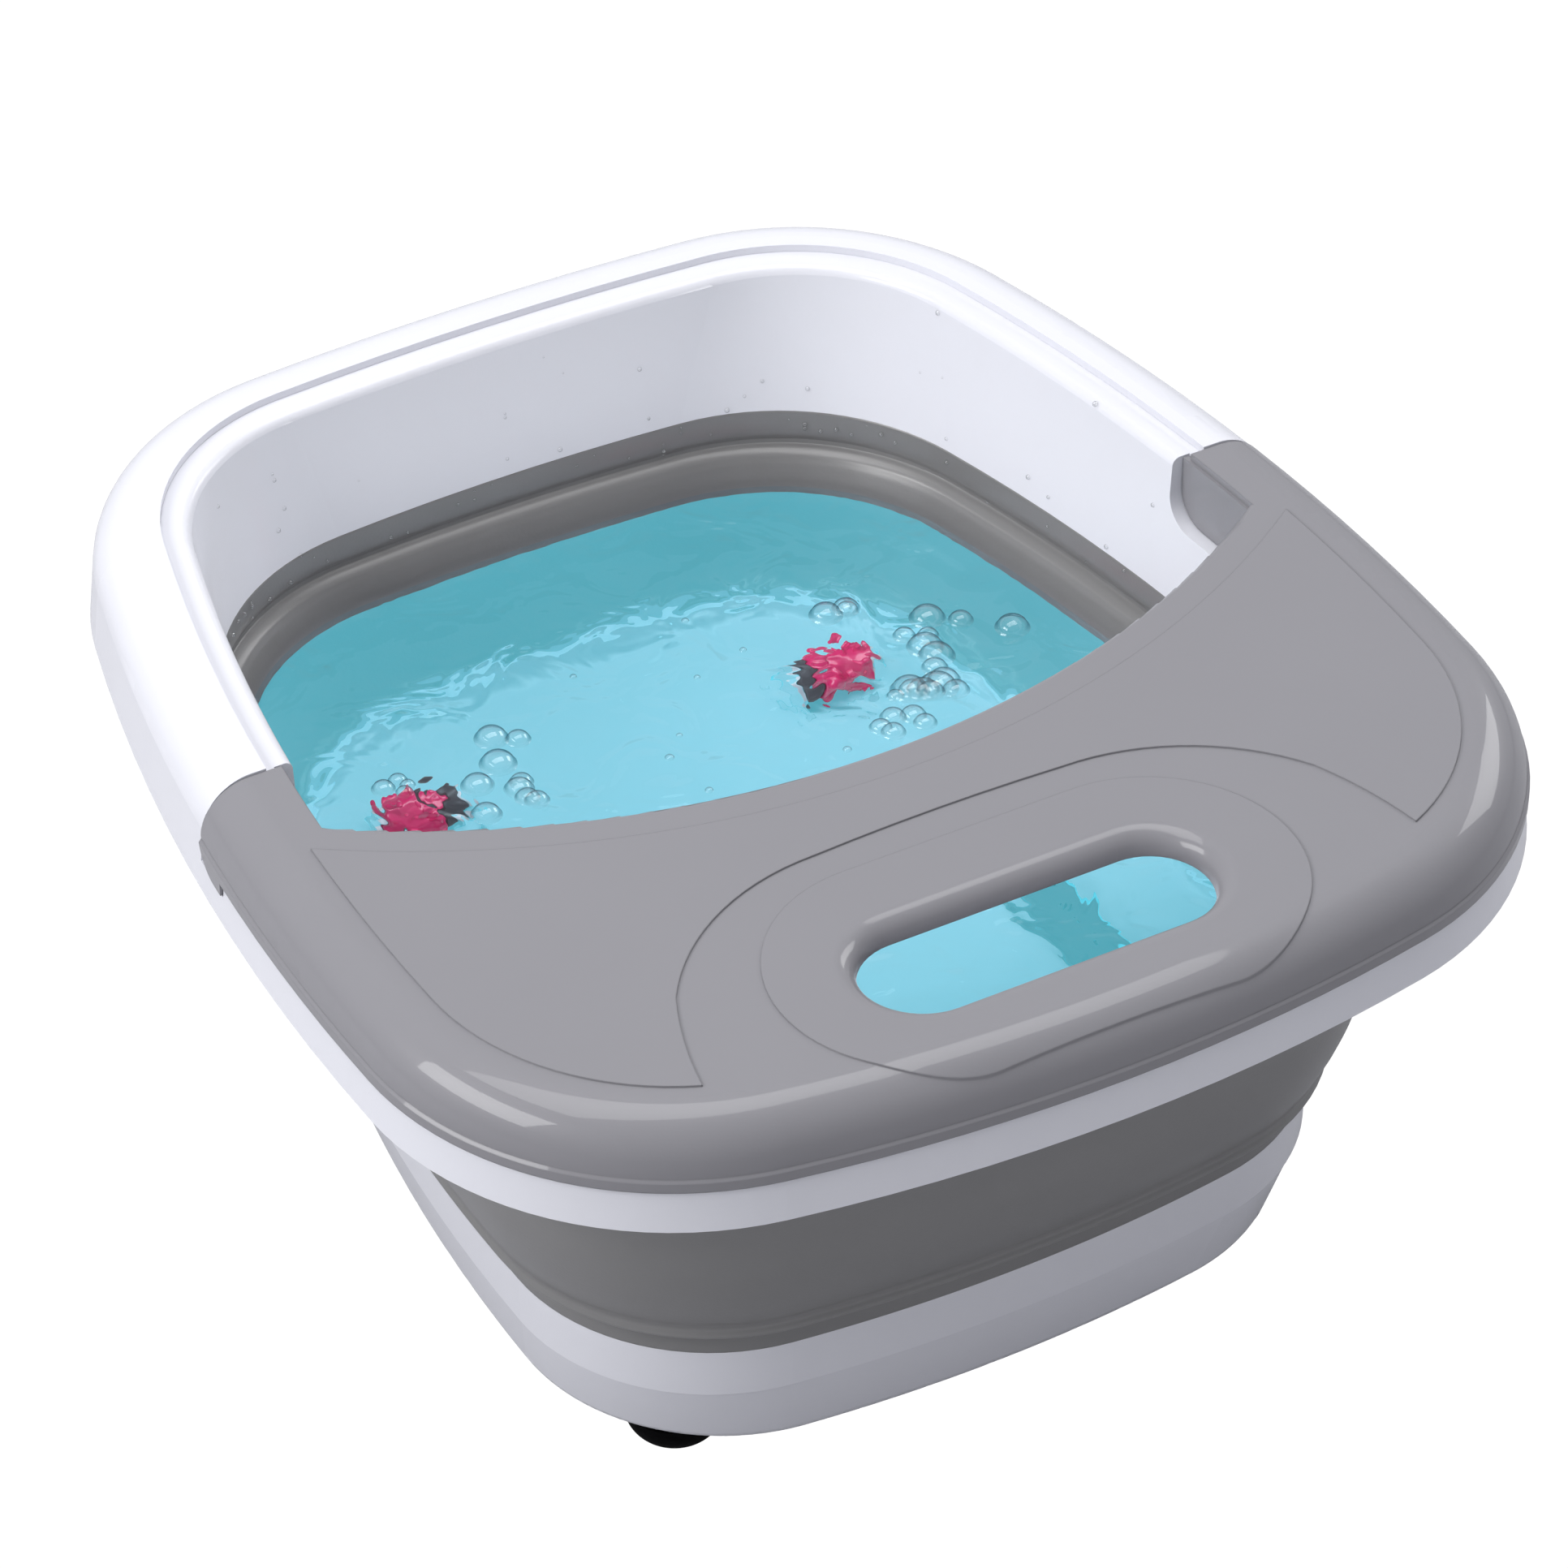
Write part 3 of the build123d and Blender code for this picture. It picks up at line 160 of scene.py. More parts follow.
def moulded(name, colour, roughness, vary=0.04, grain=0.02 * MM, specular=0.5, coat=0.0, coat_roughness=0.12,
            soft_edge=0.0):
    """Moulded plastic or rubber: faint tone and gloss variation, fine grain and a slow surface wave."""
    mat = bpy.data.materials.new(name)
    mat.use_nodes = True
    nodes, links = mat.node_tree.nodes, mat.node_tree.links
    shader = nodes["Principled BSDF"]
    shader.inputs["Specular IOR Level"].default_value = specular
    shader.inputs["Coat Weight"].default_value = coat
    shader.inputs["Coat Roughness"].default_value = coat_roughness
    where = nodes.new("ShaderNodeTexCoord")

    def noise(scale, detail):
        node = nodes.new("ShaderNodeTexNoise")
        node.inputs["Scale"].default_value = scale
        node.inputs["Detail"].default_value = detail
        links.new(where.outputs["Object"], node.inputs["Vector"])
        return node

    def bump(height, distance):
        node = nodes.new("ShaderNodeBump")
        node.inputs["Distance"].default_value = distance
        links.new(height.outputs["Fac"], node.inputs["Height"])
        return node

    ramp = nodes.new("ShaderNodeValToRGB")
    for element, place, change in zip(ramp.color_ramp.elements, TONE_RAMP, (1 - vary, 1 + vary)):
        element.position = place
        element.color = [min(c * change, 1) for c in colour] + [1]
    links.new(noise(*TONE_NOISE).outputs["Fac"], ramp.inputs["Fac"])
    links.new(ramp.outputs["Color"], shader.inputs["Base Color"])
    spread = nodes.new("ShaderNodeMapRange")
    spread.inputs["To Min"].default_value = roughness * (1 - GLOSS_SPREAD)
    spread.inputs["To Max"].default_value = roughness * (1 + GLOSS_SPREAD)
    links.new(noise(*GLOSS_NOISE).outputs["Fac"], spread.inputs["Value"])
    links.new(spread.outputs["Result"], shader.inputs["Roughness"])
    fine = bump(noise(*GRAIN_NOISE), grain)
    slow = bump(noise(*WAVE_NOISE), WAVE_HEIGHT)
    links.new(slow.outputs["Normal"], fine.inputs["Normal"])
    if soft_edge:
        rounded = nodes.new("ShaderNodeBevel")
        rounded.samples = SOFT_EDGE_SAMPLES
        rounded.inputs["Radius"].default_value = soft_edge
        links.new(rounded.outputs["Normal"], slow.inputs["Normal"])
    links.new(fine.outputs["Normal"], shader.inputs["Normal"])
    return mat


def metal(name, colour, roughness):
    mat = moulded(name, colour, roughness, vary=0.06, grain=0.01 * MM)
    mat.node_tree.nodes["Principled BSDF"].inputs["Metallic"].default_value = 1.0
    return mat


MATERIALS = {
    "white_plastic": moulded("white_plastic", (0.825, 0.83, 0.885), 0.24, vary=0.006, coat=0.1),
    "grey_plastic": moulded("grey_plastic", (0.272, 0.268, 0.288), 0.34, vary=0.012, specular=0.2,
                            coat=0.6, coat_roughness=0.04, soft_edge=0.8 * MM),
    "bellows_rubber": moulded("bellows_rubber", (0.205, 0.203, 0.203), 0.36, vary=0.03, grain=0.04 * MM,
                              specular=0.8, coat=0.35, coat_roughness=0.22),
    "black_rubber": moulded("black_rubber", (0.0015, 0.0015, 0.0018), 0.6, vary=0.1, specular=0.05),
    "roller_red": moulded("roller_red", (1.0, 0.02, 0.17), 0.22, vary=0.03, coat=1.0, coat_roughness=0.04),
    "dark_grey_plastic": moulded("dark_grey_plastic", (0.10, 0.09, 0.10), 0.35),
    "steel": metal("steel", (0.62, 0.62, 0.64), 0.28),
    "aluminium": metal("aluminium", (0.78, 0.78, 0.80), 0.38),
    "black_plastic": moulded("black_plastic", (0.02, 0.02, 0.022), 0.45),
    "board_green": moulded("board_green", (0.01, 0.12, 0.05), 0.4),
    "clear_hose": moulded("clear_hose", (0.7, 0.7, 0.68), 0.3),
}

slot_of = {row["node"]: row["material_slot"] for row in frame["record"]["subparts"]}
for node, obj in frame["nodes"].items():
    obj.data.materials.clear()
    obj.data.materials.append(MATERIALS[slot_of[node]])


# ------------------------------------------------------------------ bellows
# (height, share of the way from the base's outline to the collar's, how far a ridge stands out)
OUTSIDE_CURVE = (
    (BASE_TOP_Z, 0.0, 0.0),
    (60.0, 0.0, 0.0),
    (66.4, 0.0, 0.0),
    (67.2, 0.03, 1.4),
    (68.2, 0.08, 3.2),
    (69.2, 0.11, 3.8),
    (70.4, 0.15, 2.7),
    (72.0, 0.20, 0.9),
    (74.4, 0.26, 0.1),
    (77.0, 0.32, 0.0),
    (86.0, 0.49, 0.0),
    (97.0, 0.64, 0.0),
    (106.0, 0.72, 0.0),
    (117.8, 0.78, 0.0),
    (128.0, 0.91, 0.0),
    (134.0, 0.98, 0.0),
    (COLLAR_FOOT_Z, 1.0, 0.0),
)
WATERLINE_SHARE = 0.69
INSIDE_CURVE = (
    (BASE_TOP_Z, 0.0, 0.0),
    (68.0, 0.0, 0.0),
    (70.0, 0.08, 0.0),
    (76.0, 0.24, 0.0),
    (86.0, 0.44, 0.0),
    (97.0, 0.60, 0.0),
    (106.0, 0.66, 0.0),
    (WATER_Z, WATERLINE_SHARE, 0.0),
    (124.0, 0.78, 0.0),
    (126.6, 0.84, 0.0),
    (127.8, 0.87, 0.2),
    (128.9, 0.93, 0.5),
    (129.8, 0.985, 1.3),
    (131.2, 0.99, 1.5),
    (133.0, 0.99, 0.8),
    (137.0, 0.99, 0.2),
    (COLLAR_FOOT_Z, 1.0, 0.0),
)
CURVE_STEPS = 4


def catmull(p0, p1, p2, p3, t):
    """A point on the Catmull-Rom curve between p1 and p2."""
    point = []
    for a, b, c, d in zip(p0, p1, p2, p3):
        square, cube = 2 * a - 5 * b + 4 * c - d, 3 * b - a - 3 * c + d
        point.append(0.5 * (2 * b + (c - a) * t + square * t * t + cube * t ** 3))
    return point


def smooth_curve(points, steps):
    padded = [points[0]] + list(points) + [points[-1]]
    out = []
    for i in range(len(points) - 1):
        out += [catmull(*padded[i:i + 4], step / steps) for step in range(steps)]
    return out + [list(points[-1])]


def bellows_ring(z, share, ridge, inward):
    """One level of the bellows, inward millimetres inside its outer face."""
    plan = mixed(BASE_PLAN, COLLAR_FOOT_PLAN, share)
    return [(x, y, z) for x, y in outline(plan, inward - BELLOWS_WALL * share - ridge)]


outside = smooth_curve(OUTSIDE_CURVE, CURVE_STEPS)
inside = smooth_curve(INSIDE_CURVE, CURVE_STEPS)
rings = [bellows_ring(z, share, ridge, 0.0) for z, share, ridge in outside]
rings += [bellows_ring(z, share, ridge, BELLOWS_WALL) for z, share, ridge in reversed(inside)]
bellows = swept("bellows_wall", rings)
bellows.data.materials.append(MATERIALS["bellows_rubber"])
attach(bellows, "base")
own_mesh(bellows)
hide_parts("bellows")


# ------------------------------------------------------------------ water, staged: what fills the basin
# Each wave: numbers of radians per millimetre along X and Y, height in millimetres, phase.
WAVES = ((0.11, 0.05, 0.16, 0.3), (-0.07, 0.13, 0.14, 1.1), (0.19, -0.11, 0.10, 2.0), (0.02, 0.24, 0.09, 0.7),
         (0.31, 0.17, 0.05, 1.9), (-0.27, 0.22, 0.05, 0.2), (0.12, -0.38, 0.04, 2.6), (0.45, 0.05, 0.03, 0.9))
# Where bubbles rise the water is livelier. Here a wave's height is a share of CHURN_HEIGHT.
CHURN_WAVES = ((0.55, 0.21, 1.0, 0.0), (-0.33, 0.62, 1.0, 1.3), (0.9, -0.8, 0.6, 0.4))
CHURN_CENTRES = ((75.5, 97.0), (-75.5, 97.0), (80.0, 45.0), (82.0, -52.0), (-62.0, 60.0))
CHURN_REACH = 34.0
CHURN_HEIGHT = 0.45

WATER_RINGS = 60
WATER_EDGE_OVERLAP = 0.3
WATER_CALM_EDGE = 12                  # the waves are at full height from about a twelfth of the way in
WATER_EDGE_WAVE = 0.05


def wave_sum(waves, x, y):
    return sum(h * sin(kx * x + ky * y + phase) for kx, ky, h, phase in waves)


def ripple(x, y):
    """Height of the water at a point over its mean level."""
    near = max(1 - hypot(x - cx, y - cy) / CHURN_REACH for cx, cy in CHURN_CENTRES)
    return wave_sum(WAVES, x, y) + CHURN_HEIGHT * max(near, 0.0) * wave_sum(CHURN_WAVES, x, y)


def water_sheet():
    """The water's surface: rings round a middle point, out to the wall."""
    plan = mixed(BASE_PLAN, COLLAR_FOOT_PLAN, WATERLINE_SHARE)
    edge = outline(plan, BELLOWS_WALL - BELLOWS_WALL * WATERLINE_SHARE - WATER_EDGE_OVERLAP)
    points = [(0.0, 0.0, WATER_Z + ripple(0, 0))]
    for i in range(1, WATER_RINGS + 1):
        s = i / WATER_RINGS
        swell = min(1, WATER_CALM_EDGE * (1 - s) + WATER_EDGE_WAVE)
        points += [(x * s, y * s, WATER_Z + ripple(x * s, y * s) * swell) for x, y in edge]
    count = len(edge)
    faces = [(0, 1 + j, 1 + (j + 1) % count) for j in range(count)]
    for i in range(WATER_RINGS - 1):
        faces += bridge(1 + i * count, 1 + (i + 1) * count, count)
    return mesh_object("water", points, faces)


FLOOR_SHEET_Z = 54.2
FLOOR_SHEET_SHRINK = (0.985, 0.965)
LIP_SHEET_Z = 62.2
LIP_SHEET_DROP = 5.0
LIP_REACH = 4.2
LIP_DRAFT = 0.4
FOOT_SHEET_Z = 67.0
DEPTH_STAND_OFF = 1.0
DEPTH_TOP_Z = WATER_Z - 1.5


def depth_sheet():
    """The water's tint and a painted glow for the light it scatters, gathered in one sheet just over the floor
    and up inside the wall.
    """
    rings = []
    for z, share, _ in reversed([row for row in inside if LIP_SHEET_Z < row[0] < DEPTH_TOP_Z]):
        rings.append(bellows_ring(z, share, -DEPTH_STAND_OFF, BELLOWS_WALL))
    rings.append(bellows_ring(LIP_SHEET_Z, 0.0, -LIP_REACH, BELLOWS_WALL))
    rings.append(bellows_ring(LIP_SHEET_Z - LIP_SHEET_DROP, 0.0, -LIP_REACH - LIP_DRAFT, BELLOWS_WALL))
    low = rings[-1]
    for shrink in FLOOR_SHEET_SHRINK:
        rings.append([(x * shrink, y * shrink, FLOOR_SHEET_Z) for x, y, _ in low])
    sheet = swept("depth", rings, closed=False)
    count = len(low)
    bm = bmesh.new()
    bm.from_mesh(sheet.data)
    bm.verts.ensure_lookup_table()
    bm.faces.new([bm.verts[len(rings) * count - count + k] for k in range(count)])
    for face in bm.faces:
        # painted light: the band at the foot of the wall takes the lighter glow of the white floor beside it
        face.material_index = int(LIP_SHEET_Z < face.calc_center_median().z / MM < FOOT_SHEET_Z)
    bm.to_mesh(sheet.data)
    bm.free()
    return sheet


CHEEK_WALL = 2.4
CHEEK_HALF_DEPTH = 7.0
CHEEK_ARCH_STEPS = 12
SHEET_STAND_OFF = 0.3


def in_mm(box):
    return [[c / MM for c in corner] for corner in box]


def cheek_sheets():
    """The water's tint and painted glow over the white cheeks of the rollers, which stand up through the sheet
    on the floor.
    """
    points, faces = [], []
    for side in ("left", "right"):
        low, high = in_mm(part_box("roller_cradle_" + side))
        middle, top = (low[1] + high[1]) / 2, high[2]
        reach = CHEEK_HALF_DEPTH + SHEET_STAND_OFF
        arch = [(middle + reach, FLOOR_SHEET_Z)]
        for i in range(CHEEK_ARCH_STEPS + 1):
            angle = pi * i / CHEEK_ARCH_STEPS
            arch.append((middle + reach * cos(angle), top + SHEET_STAND_OFF - reach * (1 - sin(angle))))
        arch.append((middle - reach, FLOOR_SHEET_Z))
        for near in (low[0], high[0] - CHEEK_WALL):
            start, count = len(points), len(arch)
            for x in (near - SHEET_STAND_OFF, near + CHEEK_WALL + SHEET_STAND_OFF):
                points += [(x, y, z) for y, z in arch]
            faces += bridge(start, start + count, count)[:-1]
            faces += [tuple(range(start, start + count)), tuple(range(start + count, start + 2 * count))]
    return mesh_object("cheek_sheets", points, faces, smooth=False)


def bar_sheets():
    """The water's tint and painted glow over the bubble bars: a box with no bottom round each."""
    points, faces = [], []
    for side in ("left", "right"):
        low, high = in_mm(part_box("bubble_bar_" + side))
        x0, x1 = low[0] - SHEET_STAND_OFF, high[0] + SHEET_STAND_OFF
        y0, y1 = low[1] - SHEET_STAND_OFF, high[1] + SHEET_STAND_OFF
        corners = ((x0, y0), (x1, y0), (x1, y1), (x0, y1))
        start, count = len(points), len(corners)
        points += [(x, y, z) for z in (FLOOR_SHEET_Z, high[2] + SHEET_STAND_OFF) for x, y in corners]
        faces.append(tuple(range(start + count, start + 2 * count)))
        faces += bridge(start, start + count, count)
    return mesh_object("bar_sheets", points, faces, smooth=False)


# ------------------------------------------------------------------ bubbles and drops, staged
BUBBLE_SIDES = 24
DOME_STEPS = 9
DOME_SQUASH = 0.72
DOME_LIFT = 0.08
MENISCUS = ((1.14, 0.0, 0.05), (1.04, 0.10, 0.0))     # reach and height in radii, then a height in millimetres


def dome_rings(x, y, radius):
    """The part of a bubble above the water, with a small meniscus round its foot."""
    profile = [(radius * reach, radius * rise + lift) for reach, rise, lift in MENISCUS]
    for i in range(1, DOME_STEPS):
        angle = pi / 2 * i / DOME_STEPS
        profile.append((radius * cos(angle), radius * DOME_SQUASH * sin(angle) + radius * DOME_LIFT))
    turns = [2 * pi * k / BUBBLE_SIDES for k in range(BUBBLE_SIDES)]
    return [[(x + r * cos(turn), y + r * sin(turn), WATER_Z + h) for turn in turns] for r, h in profile]


# Middle of each group on the water in millimetres, how many, how far they spread, largest radius.
BUBBLE_GROUPS = ((72.0, 86.0, 3, 9.0, 6.0), (97.0, 62.0, 5, 12.0, 5.6), (120.0, 53.0, 1, 2.0, 7.6),
                 (84.0, 46.0, 9, 15.0, 6.2), (64.0, 34.0, 6, 12.0, 4.6), (-54.0, 80.0, 3, 9.0, 6.0),
                 (-62.0, 56.0, 6, 14.0, 5.0), (-92.0, 74.0, 4, 10.0, 3.6), (32.0, -152.0, 7, 14.0, 4.4),
                 (-24.0, -152.0, 4, 13.0, 3.6), (10.0, 95.0, 4, 40.0, 1.8), (0.0, 30.0, 5, 45.0, 1.6))
BUBBLE_SMALLEST = 0.55                # share of the group's largest radius
BUBBLE_SEED = 7


def bubbles():
    chance = Random(BUBBLE_SEED)
    points, faces = [], []
    for gx, gy, number, spread, largest in BUBBLE_GROUPS:
        for _ in range(number):
            turn, reach = chance.uniform(0, 2 * pi), spread * sqrt(chance.random())
            radius = largest * chance.uniform(BUBBLE_SMALLEST, 1.0)
            dome = dome_rings(gx + reach * cos(turn), gy + reach * sin(turn), radius)
            start = len(points)
            points += [p for ring in dome for p in ring]
            for i in range(len(dome) - 1):
                faces += bridge(start + i * BUBBLE_SIDES, start + (i + 1) * BUBBLE_SIDES, BUBBLE_SIDES)
            top = start + (len(dome) - 1) * BUBBLE_SIDES
            faces.append(tuple(range(top, top + BUBBLE_SIDES)))
    return mesh_object("bubbles", points, faces)


DROP_SIDES = 8
DROP_ROWS = 5
DROP_SIZES = (0.35, 1.0)


def drops(name, number, seed, place):
    """Small spattered drops, each a ball half sunk in the wall it clings to."""
    chance = Random(seed)
    turns = [2 * pi * k / DROP_SIDES for k in range(DROP_SIDES)]
    points, faces = [], []
    for _ in range(number):
        x, y, z = place(chance)
        size = chance.uniform(*DROP_SIZES)
        start = len(points)
        for row in range(1, DROP_ROWS + 1):
            lift, ring = cos(pi * row / (DROP_ROWS + 1)), sin(pi * row / (DROP_ROWS + 1))
            points += [(x + size * ring * cos(turn), y + size * ring * sin(turn), z + size * lift)
                       for turn in turns]
        for row in range(DROP_ROWS - 1):
            faces += bridge(start + row * DROP_SIDES, start + (row + 1) * DROP_SIDES, DROP_SIDES)
        last = start + (DROP_ROWS - 1) * DROP_SIDES
        faces.append(tuple(range(start, start + DROP_SIDES)))
        faces.append(tuple(range(last, last + DROP_SIDES)))
    return mesh_object(name, points, faces)


BAND_HEIGHTS = (132.0, 142.0)
BAND_SHARE = 0.99
DROP_STAND_OFF = 0.1
COLLAR_RISE = 52.0
COLLAR_LEAN = 30.0


def on_band(chance):
    """A place on the inside of the bellows, between its ridge and the collar."""
    height = chance.uniform(*BAND_HEIGHTS)
    return chance.choice(bellows_ring(height, BAND_SHARE, -DROP_STAND_OFF, BELLOWS_WALL))


def on_collar(chance):
    """A place on the inside of the white collar, more often low than high."""
    share = chance.random() ** 2
    plan = mixed(COLLAR_FOOT_PLAN, RIM_PLAN, share)
    x, y = chance.choice(outline(plan, COLLAR_LEAN * share + DROP_STAND_OFF))
    return x, y, COLLAR_FOOT_Z + share * COLLAR_RISE


# ------------------------------------------------------------------ materials of the staged pieces
class ShaderTree:
    """The nodes of a material or world, emptied, and short ways to fill them."""

    def __init__(self, owner, output):
        owner.use_nodes = True
        self.owner = owner
        self.nodes = owner.node_tree.nodes
        self.link = owner.node_tree.links.new
        self.nodes.clear()
        self.output = self.nodes.new(output)

    def add(self, kind, **settings):
        node = self.nodes.new("ShaderNode" + kind)
        for name, value in settings.items():
            node.inputs[name.replace("_", " ")].default_value = value
        return node

    def mix(self, share, first, second):
        """One shader over another: share is how much of the second."""
        mix = self.add("MixShader")
        for source, target in zip((share, first, second), mix.inputs):
            self.link(source, target)
        return mix.outputs["Shader"]

    def show(self, surface):
        """Joins a shader to the output and gives the material or world back."""
        self.link(surface, self.output.inputs["Surface"])
        return self.owner


def staged_tree(name):
    return ShaderTree(bpy.data.materials.new(name), "ShaderNodeOutputMaterial")


WATER_IOR = 1.33
WATER_GLOSS = 0.02
WATER_CLEAR = (0.93, 0.98, 1.0, 1)
SURFACE_TINT = (0.80, 0.94, 1.0, 1)
SWIRL_SCALE = 42.0
SWIRL_DETAIL = 2.1
SWIRL_DISTORTION = 0.8
SWIRL_HEIGHT = 4.2 * MM


def water_material():
    """The surface bends what is seen through it; for light it is clear."""
    tree = staged_tree("water")
    refraction = tree.add("BsdfRefraction", Color=SURFACE_TINT, Roughness=0.0, IOR=WATER_IOR)
    gloss = tree.add("BsdfGlossy", Roughness=WATER_GLOSS)
    fresnel = tree.add("Fresnel", IOR=WATER_IOR)
    clear = tree.add("BsdfTransparent", Color=WATER_CLEAR)
    swirl = tree.add("TexNoise", Scale=SWIRL_SCALE, Detail=SWIRL_DETAIL, Distortion=SWIRL_DISTORTION)
    tree.link(tree.add("TexCoord").outputs["Object"], swirl.inputs["Vector"])
    bump = tree.add("Bump", Distance=SWIRL_HEIGHT)
    tree.link(swirl.outputs["Fac"], bump.inputs["Height"])
    for shader in (refraction, gloss, fresnel):
        tree.link(bump.outputs["Normal"], shader.inputs["Normal"])
    surface = tree.mix(fresnel.outputs["Fac"], refraction.outputs["BSDF"], gloss.outputs["BSDF"])
    seen = tree.add("LightPath").outputs["Is Camera Ray"]
    return tree.show(tree.mix(seen, clear.outputs["BSDF"], surface))


DEPTH_TINT = (0.40, 0.50, 0.53, 1)
# painted light: an emission that stands in for the light scattered in the water's body
DEPTH_PAINTED_GLOW = (0.07, 0.37, 0.43, 1)
FOOT_GLOW = (0.12, 0.46, 0.55, 1)     # the foot of the wall is lit by the white floor beside it


def depth_material(name, colour):
    """Tints what is seen through the surface and adds a painted glow over it, standing in for the light the
    water scatters; lets all other light pass.
    """
    tree = staged_tree(name)
    tint = tree.add("BsdfTransparent", Color=DEPTH_TINT)
    glow = tree.add("Emission", Color=colour)
    both = tree.add("AddShader")
    tree.link(tint.outputs["BSDF"], both.inputs[0])
    tree.link(glow.outputs["Emission"], both.inputs[1])
    clear = tree.add("BsdfTransparent")
    below = tree.add("LightPath").outputs["Is Transmission Ray"]
    return tree.show(tree.mix(below, clear.outputs["BSDF"], both.outputs["Shader"]))


FILM_BLEND = 0.42
FILM_RAMP = (0.25, 0.85)
FILM_CLEAR = (1, 1, 1, 1)
FILM_ROUGHNESS = 0.04
FILM_LEAST_GLOSS = 0.05
# painted shade: the rims of bubbles and drops are tinted darker towards their edge
BUBBLE_RIM_SHADE = (0.16, 0.50, 0.57, 1)
BUBBLE_RIM_GLOSS = 0.32
DROP_RIM_SHADE = (0.75, 0.77, 0.8, 1)
DROP_RIM_GLOSS = 0.9


def film(name, rim_shade, rim_gloss):
    """A clear film or drop: see-through face on, reflecting towards its edge, where a painted shade tints it.
    """
    tree = staged_tree(name)
    facing = tree.add("LayerWeight", Blend=FILM_BLEND).outputs["Facing"]
    edge_shade_ramp = tree.add("ValToRGB")
    for element, place, colour in zip(edge_shade_ramp.color_ramp.elements, FILM_RAMP, (FILM_CLEAR, rim_shade)):
        element.position = place
        element.color = colour
    tree.link(facing, edge_shade_ramp.inputs["Fac"])
    clear = tree.add("BsdfTransparent")
    tree.link(edge_shade_ramp.outputs["Color"], clear.inputs["Color"])
    gloss = tree.add("BsdfGlossy", Roughness=FILM_ROUGHNESS)
    share = tree.add("Math")
    share.operation = "MULTIPLY_ADD"
    share.inputs[1].default_value = rim_gloss
    share.inputs[2].default_value = FILM_LEAST_GLOSS
    tree.link(facing, share.inputs[0])
    return tree.show(tree.mix(share.outputs["Value"], clear.outputs["BSDF"], gloss.outputs["BSDF"]))


BAND_DROPS, BAND_DROPS_SEED = 110, 3
COLLAR_DROPS, COLLAR_DROPS_SEED = 60, 5

# The water's tint with painted glow, and a lighter painted glow for the wall's foot lit by the floor.
water_tint_and_painted_glow = depth_material("depth", DEPTH_PAINTED_GLOW)
foot_look = depth_material("depth_foot", FOOT_GLOW)
drop_look = film("drop", DROP_RIM_SHADE, DROP_RIM_GLOSS)
for staged, looks in ((water_sheet(), [water_material()]),
                      (depth_sheet(), [water_tint_and_painted_glow, foot_look]),
                      (cheek_sheets(), [water_tint_and_painted_glow]),
                      (bar_sheets(), [water_tint_and_painted_glow]),
                      (bubbles(), [film("bubble", BUBBLE_RIM_SHADE, BUBBLE_RIM_GLOSS)]),
                      (drops("band_drops", BAND_DROPS, BAND_DROPS_SEED, on_band), [drop_look])):
    for look in looks:
        staged.data.materials.append(look)
    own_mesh(staged)

collar_drops = drops("collar_drops", COLLAR_DROPS, COLLAR_DROPS_SEED, on_collar)
collar_drops.data.materials.append(drop_look)
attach(collar_drops, "rim")


# ------------------------------------------------------------------ floor, light and camera
FLOOR_REACH = 6000
FLOOR_CORNERS = ((-1, -1), (1, -1), (1, 1), (-1, 1))
FLOOR_COLOUR = (0.50, 0.50, 0.52, 1)
FLOOR_SEEN = 1.05
WORLD_COLOUR = (0.97, 0.98, 1.03, 1)
WORLD_LIGHT = 0.50
WORLD_FRONT_SHARE = 0.72              # of WORLD_LIGHT, for what comes from straight in front
WORLD_FADE = (-1.0, 0.2)              # the Y of the directions between which it rises to WORLD_LIGHT
WORLD_SEEN = 1.05


def floor_material():
    """A pale sweep: white to the eye, and softer than white in the light it throws back up."""
    tree = staged_tree("floor")
    shader = tree.add("BsdfPrincipled", Base_Color=FLOOR_COLOUR, Roughness=1.0, Specular_IOR_Level=0.0)
    glow = tree.add("Emission", Strength=FLOOR_SEEN)
    seen = tree.add("LightPath").outputs["Is Camera Ray"]
    return tree.show(tree.mix(seen, shader.outputs["BSDF"], glow.outputs["Emission"]))


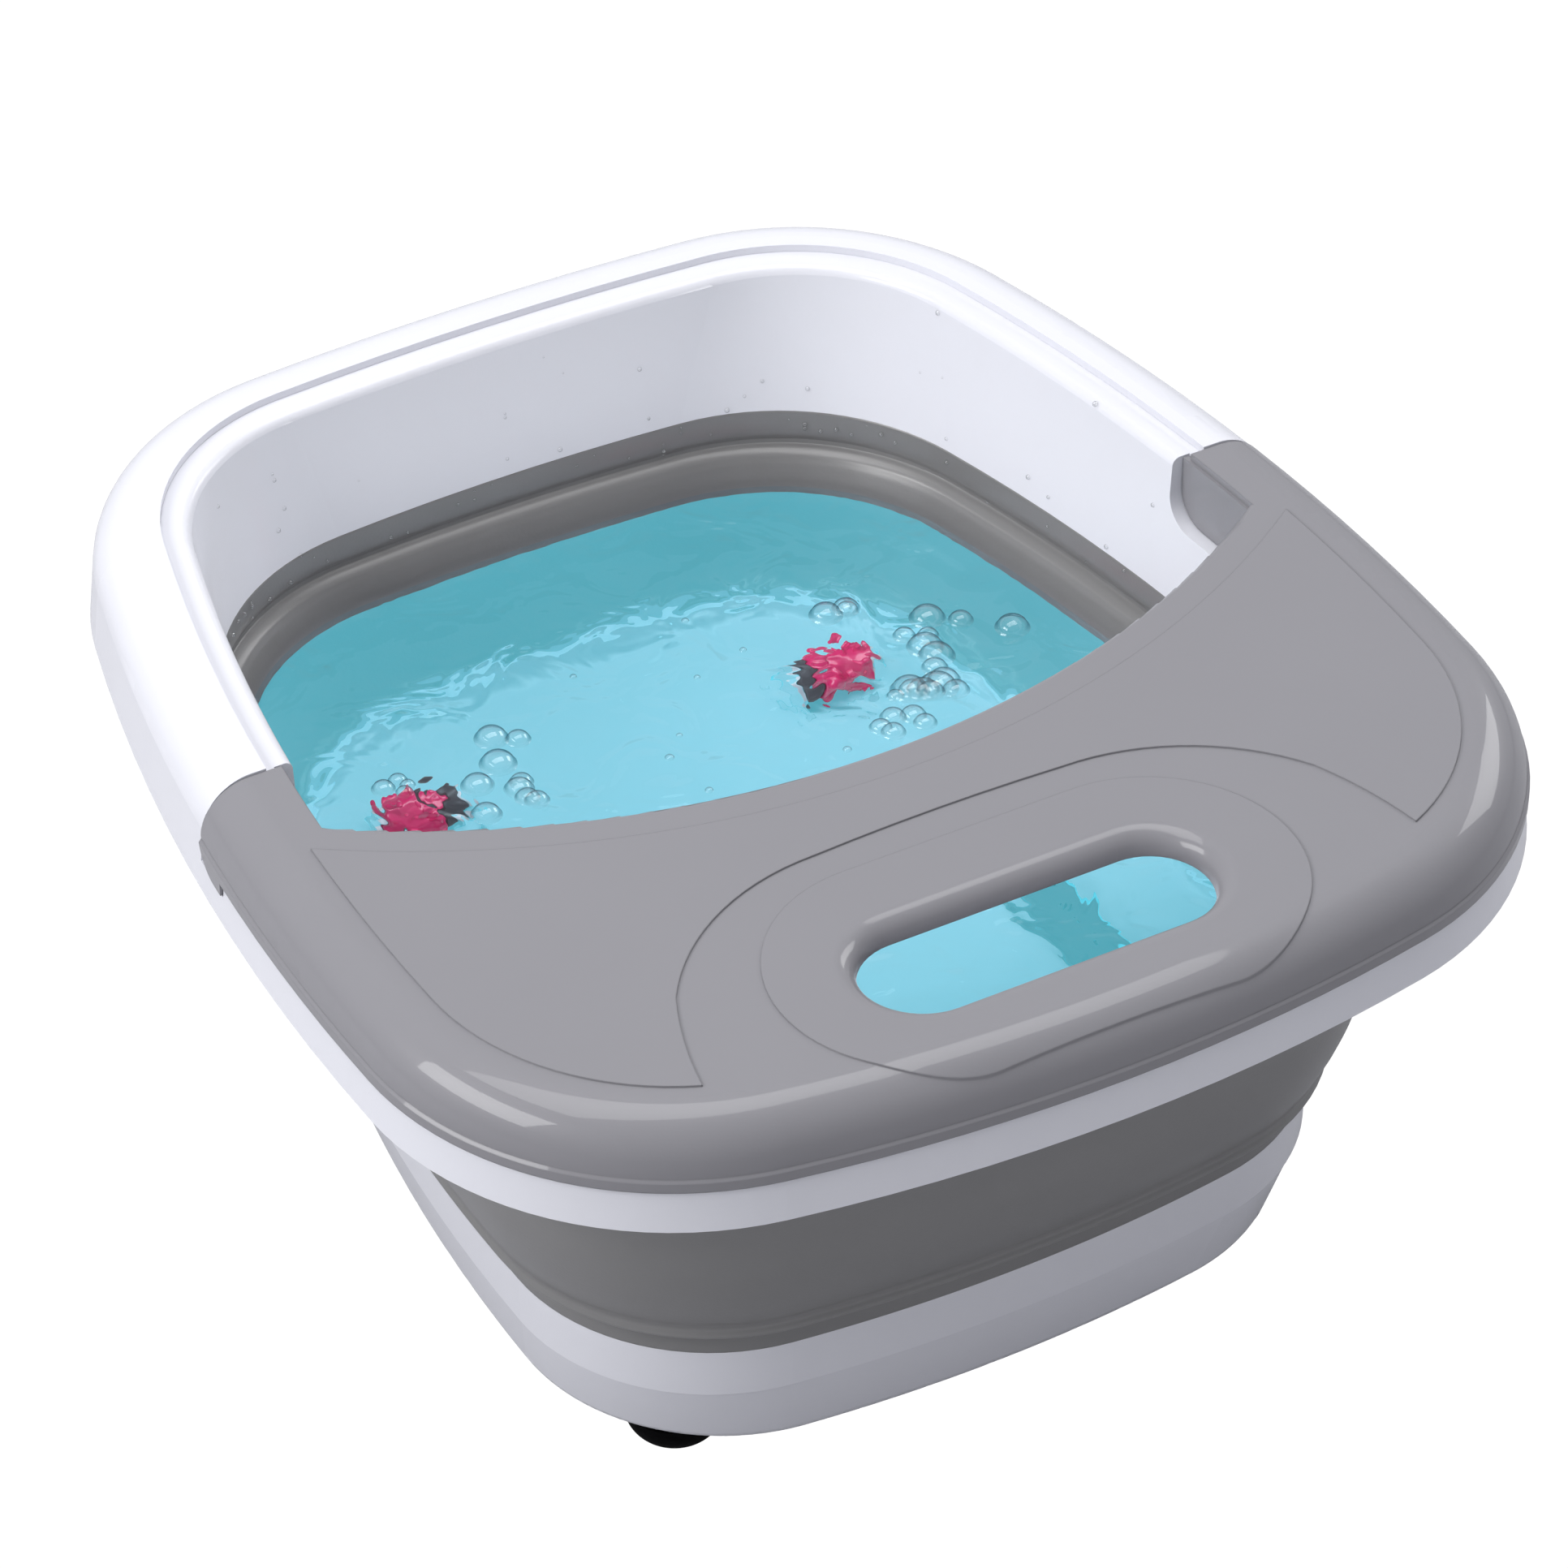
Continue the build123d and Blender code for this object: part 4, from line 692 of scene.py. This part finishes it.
def studio_world():
    """White walls to the eye, dimmer as a light and dimmest in front, so the softboxes shape the object."""
    tree = ShaderTree(bpy.data.worlds.new("studio"), "ShaderNodeOutputWorld")
    split = tree.add("SeparateXYZ")
    tree.link(tree.add("TexCoord").outputs["Generated"], split.inputs["Vector"])
    fade = tree.add("MapRange", From_Min=WORLD_FADE[0], From_Max=WORLD_FADE[1],
                    To_Min=WORLD_LIGHT * WORLD_FRONT_SHARE, To_Max=WORLD_LIGHT)
    tree.link(split.outputs["Y"], fade.inputs["Value"])
    strength = tree.add("MapRange", To_Max=WORLD_SEEN)
    tree.link(tree.add("LightPath").outputs["Is Camera Ray"], strength.inputs["Value"])
    tree.link(fade.outputs["Result"], strength.inputs["To Min"])
    background = tree.add("Background", Color=WORLD_COLOUR)
    tree.link(strength.outputs["Result"], background.inputs["Strength"])
    return tree.show(background.outputs["Background"])


def softbox(name, place, aim, width, depth, power):
    """A rectangular light, in metres and watts, that faces the point it aims at."""
    light = bpy.data.lights.new(name, "AREA")
    light.shape = "RECTANGLE"
    light.size, light.size_y, light.energy = width, depth, power
    obj = bpy.data.objects.new(name, light)
    obj.location = place
    obj.rotation_euler = (Vector(aim) - Vector(place)).to_track_quat("-Z", "Y").to_euler()
    bpy.context.scene.collection.objects.link(obj)
    return obj


floor = mesh_object("floor", [(x * FLOOR_REACH, y * FLOOR_REACH, 0) for x, y in FLOOR_CORNERS], [(0, 1, 2, 3)],
                    smooth=False)
floor.data.materials.append(floor_material())
bpy.context.scene.world = studio_world()

softbox("overhead", (0, 0.25, 2.2), (0, 0.25, 0.1), 2.2, 1.15, 23.0)
softbox("side", (-1.5, 0.05, 1.15), (0, 0, 0.15), 1.2, 0.7, 15.5)
softbox("right_fill", (1.6, 0.3, 1.1), (0, 0, 0.15), 1.0, 0.6, 7.0)
# The light that the water throws up on the walls around it.
pool = softbox("pool", (0, 0.03, 0.1195), (0, 0.03, 0.3), 0.2, 0.2, 0.16)
pool.visible_camera = False
pool.visible_glossy = False

SENSOR = 36.0
LENS = 167.7
TARGET = Vector((4.31, -0.16, 135.68)) * MM
DISTANCE = 2298.2 * MM
AZIMUTH, ELEVATION = radians(-29.43), radians(38.91)
camera_data = bpy.data.cameras.new("camera")
camera_data.sensor_width = SENSOR
camera_data.lens = LENS
camera = bpy.data.objects.new("camera", camera_data)
camera.location = TARGET + DISTANCE * Vector(
    (sin(AZIMUTH) * cos(ELEVATION), -cos(AZIMUTH) * cos(ELEVATION), sin(ELEVATION)))
camera.rotation_euler = (TARGET - camera.location).to_track_quat("-Z", "Y").to_euler()
bpy.context.scene.collection.objects.link(camera)
bpy.context.scene.camera = camera
bpy.context.scene.view_settings.view_transform = "Standard"
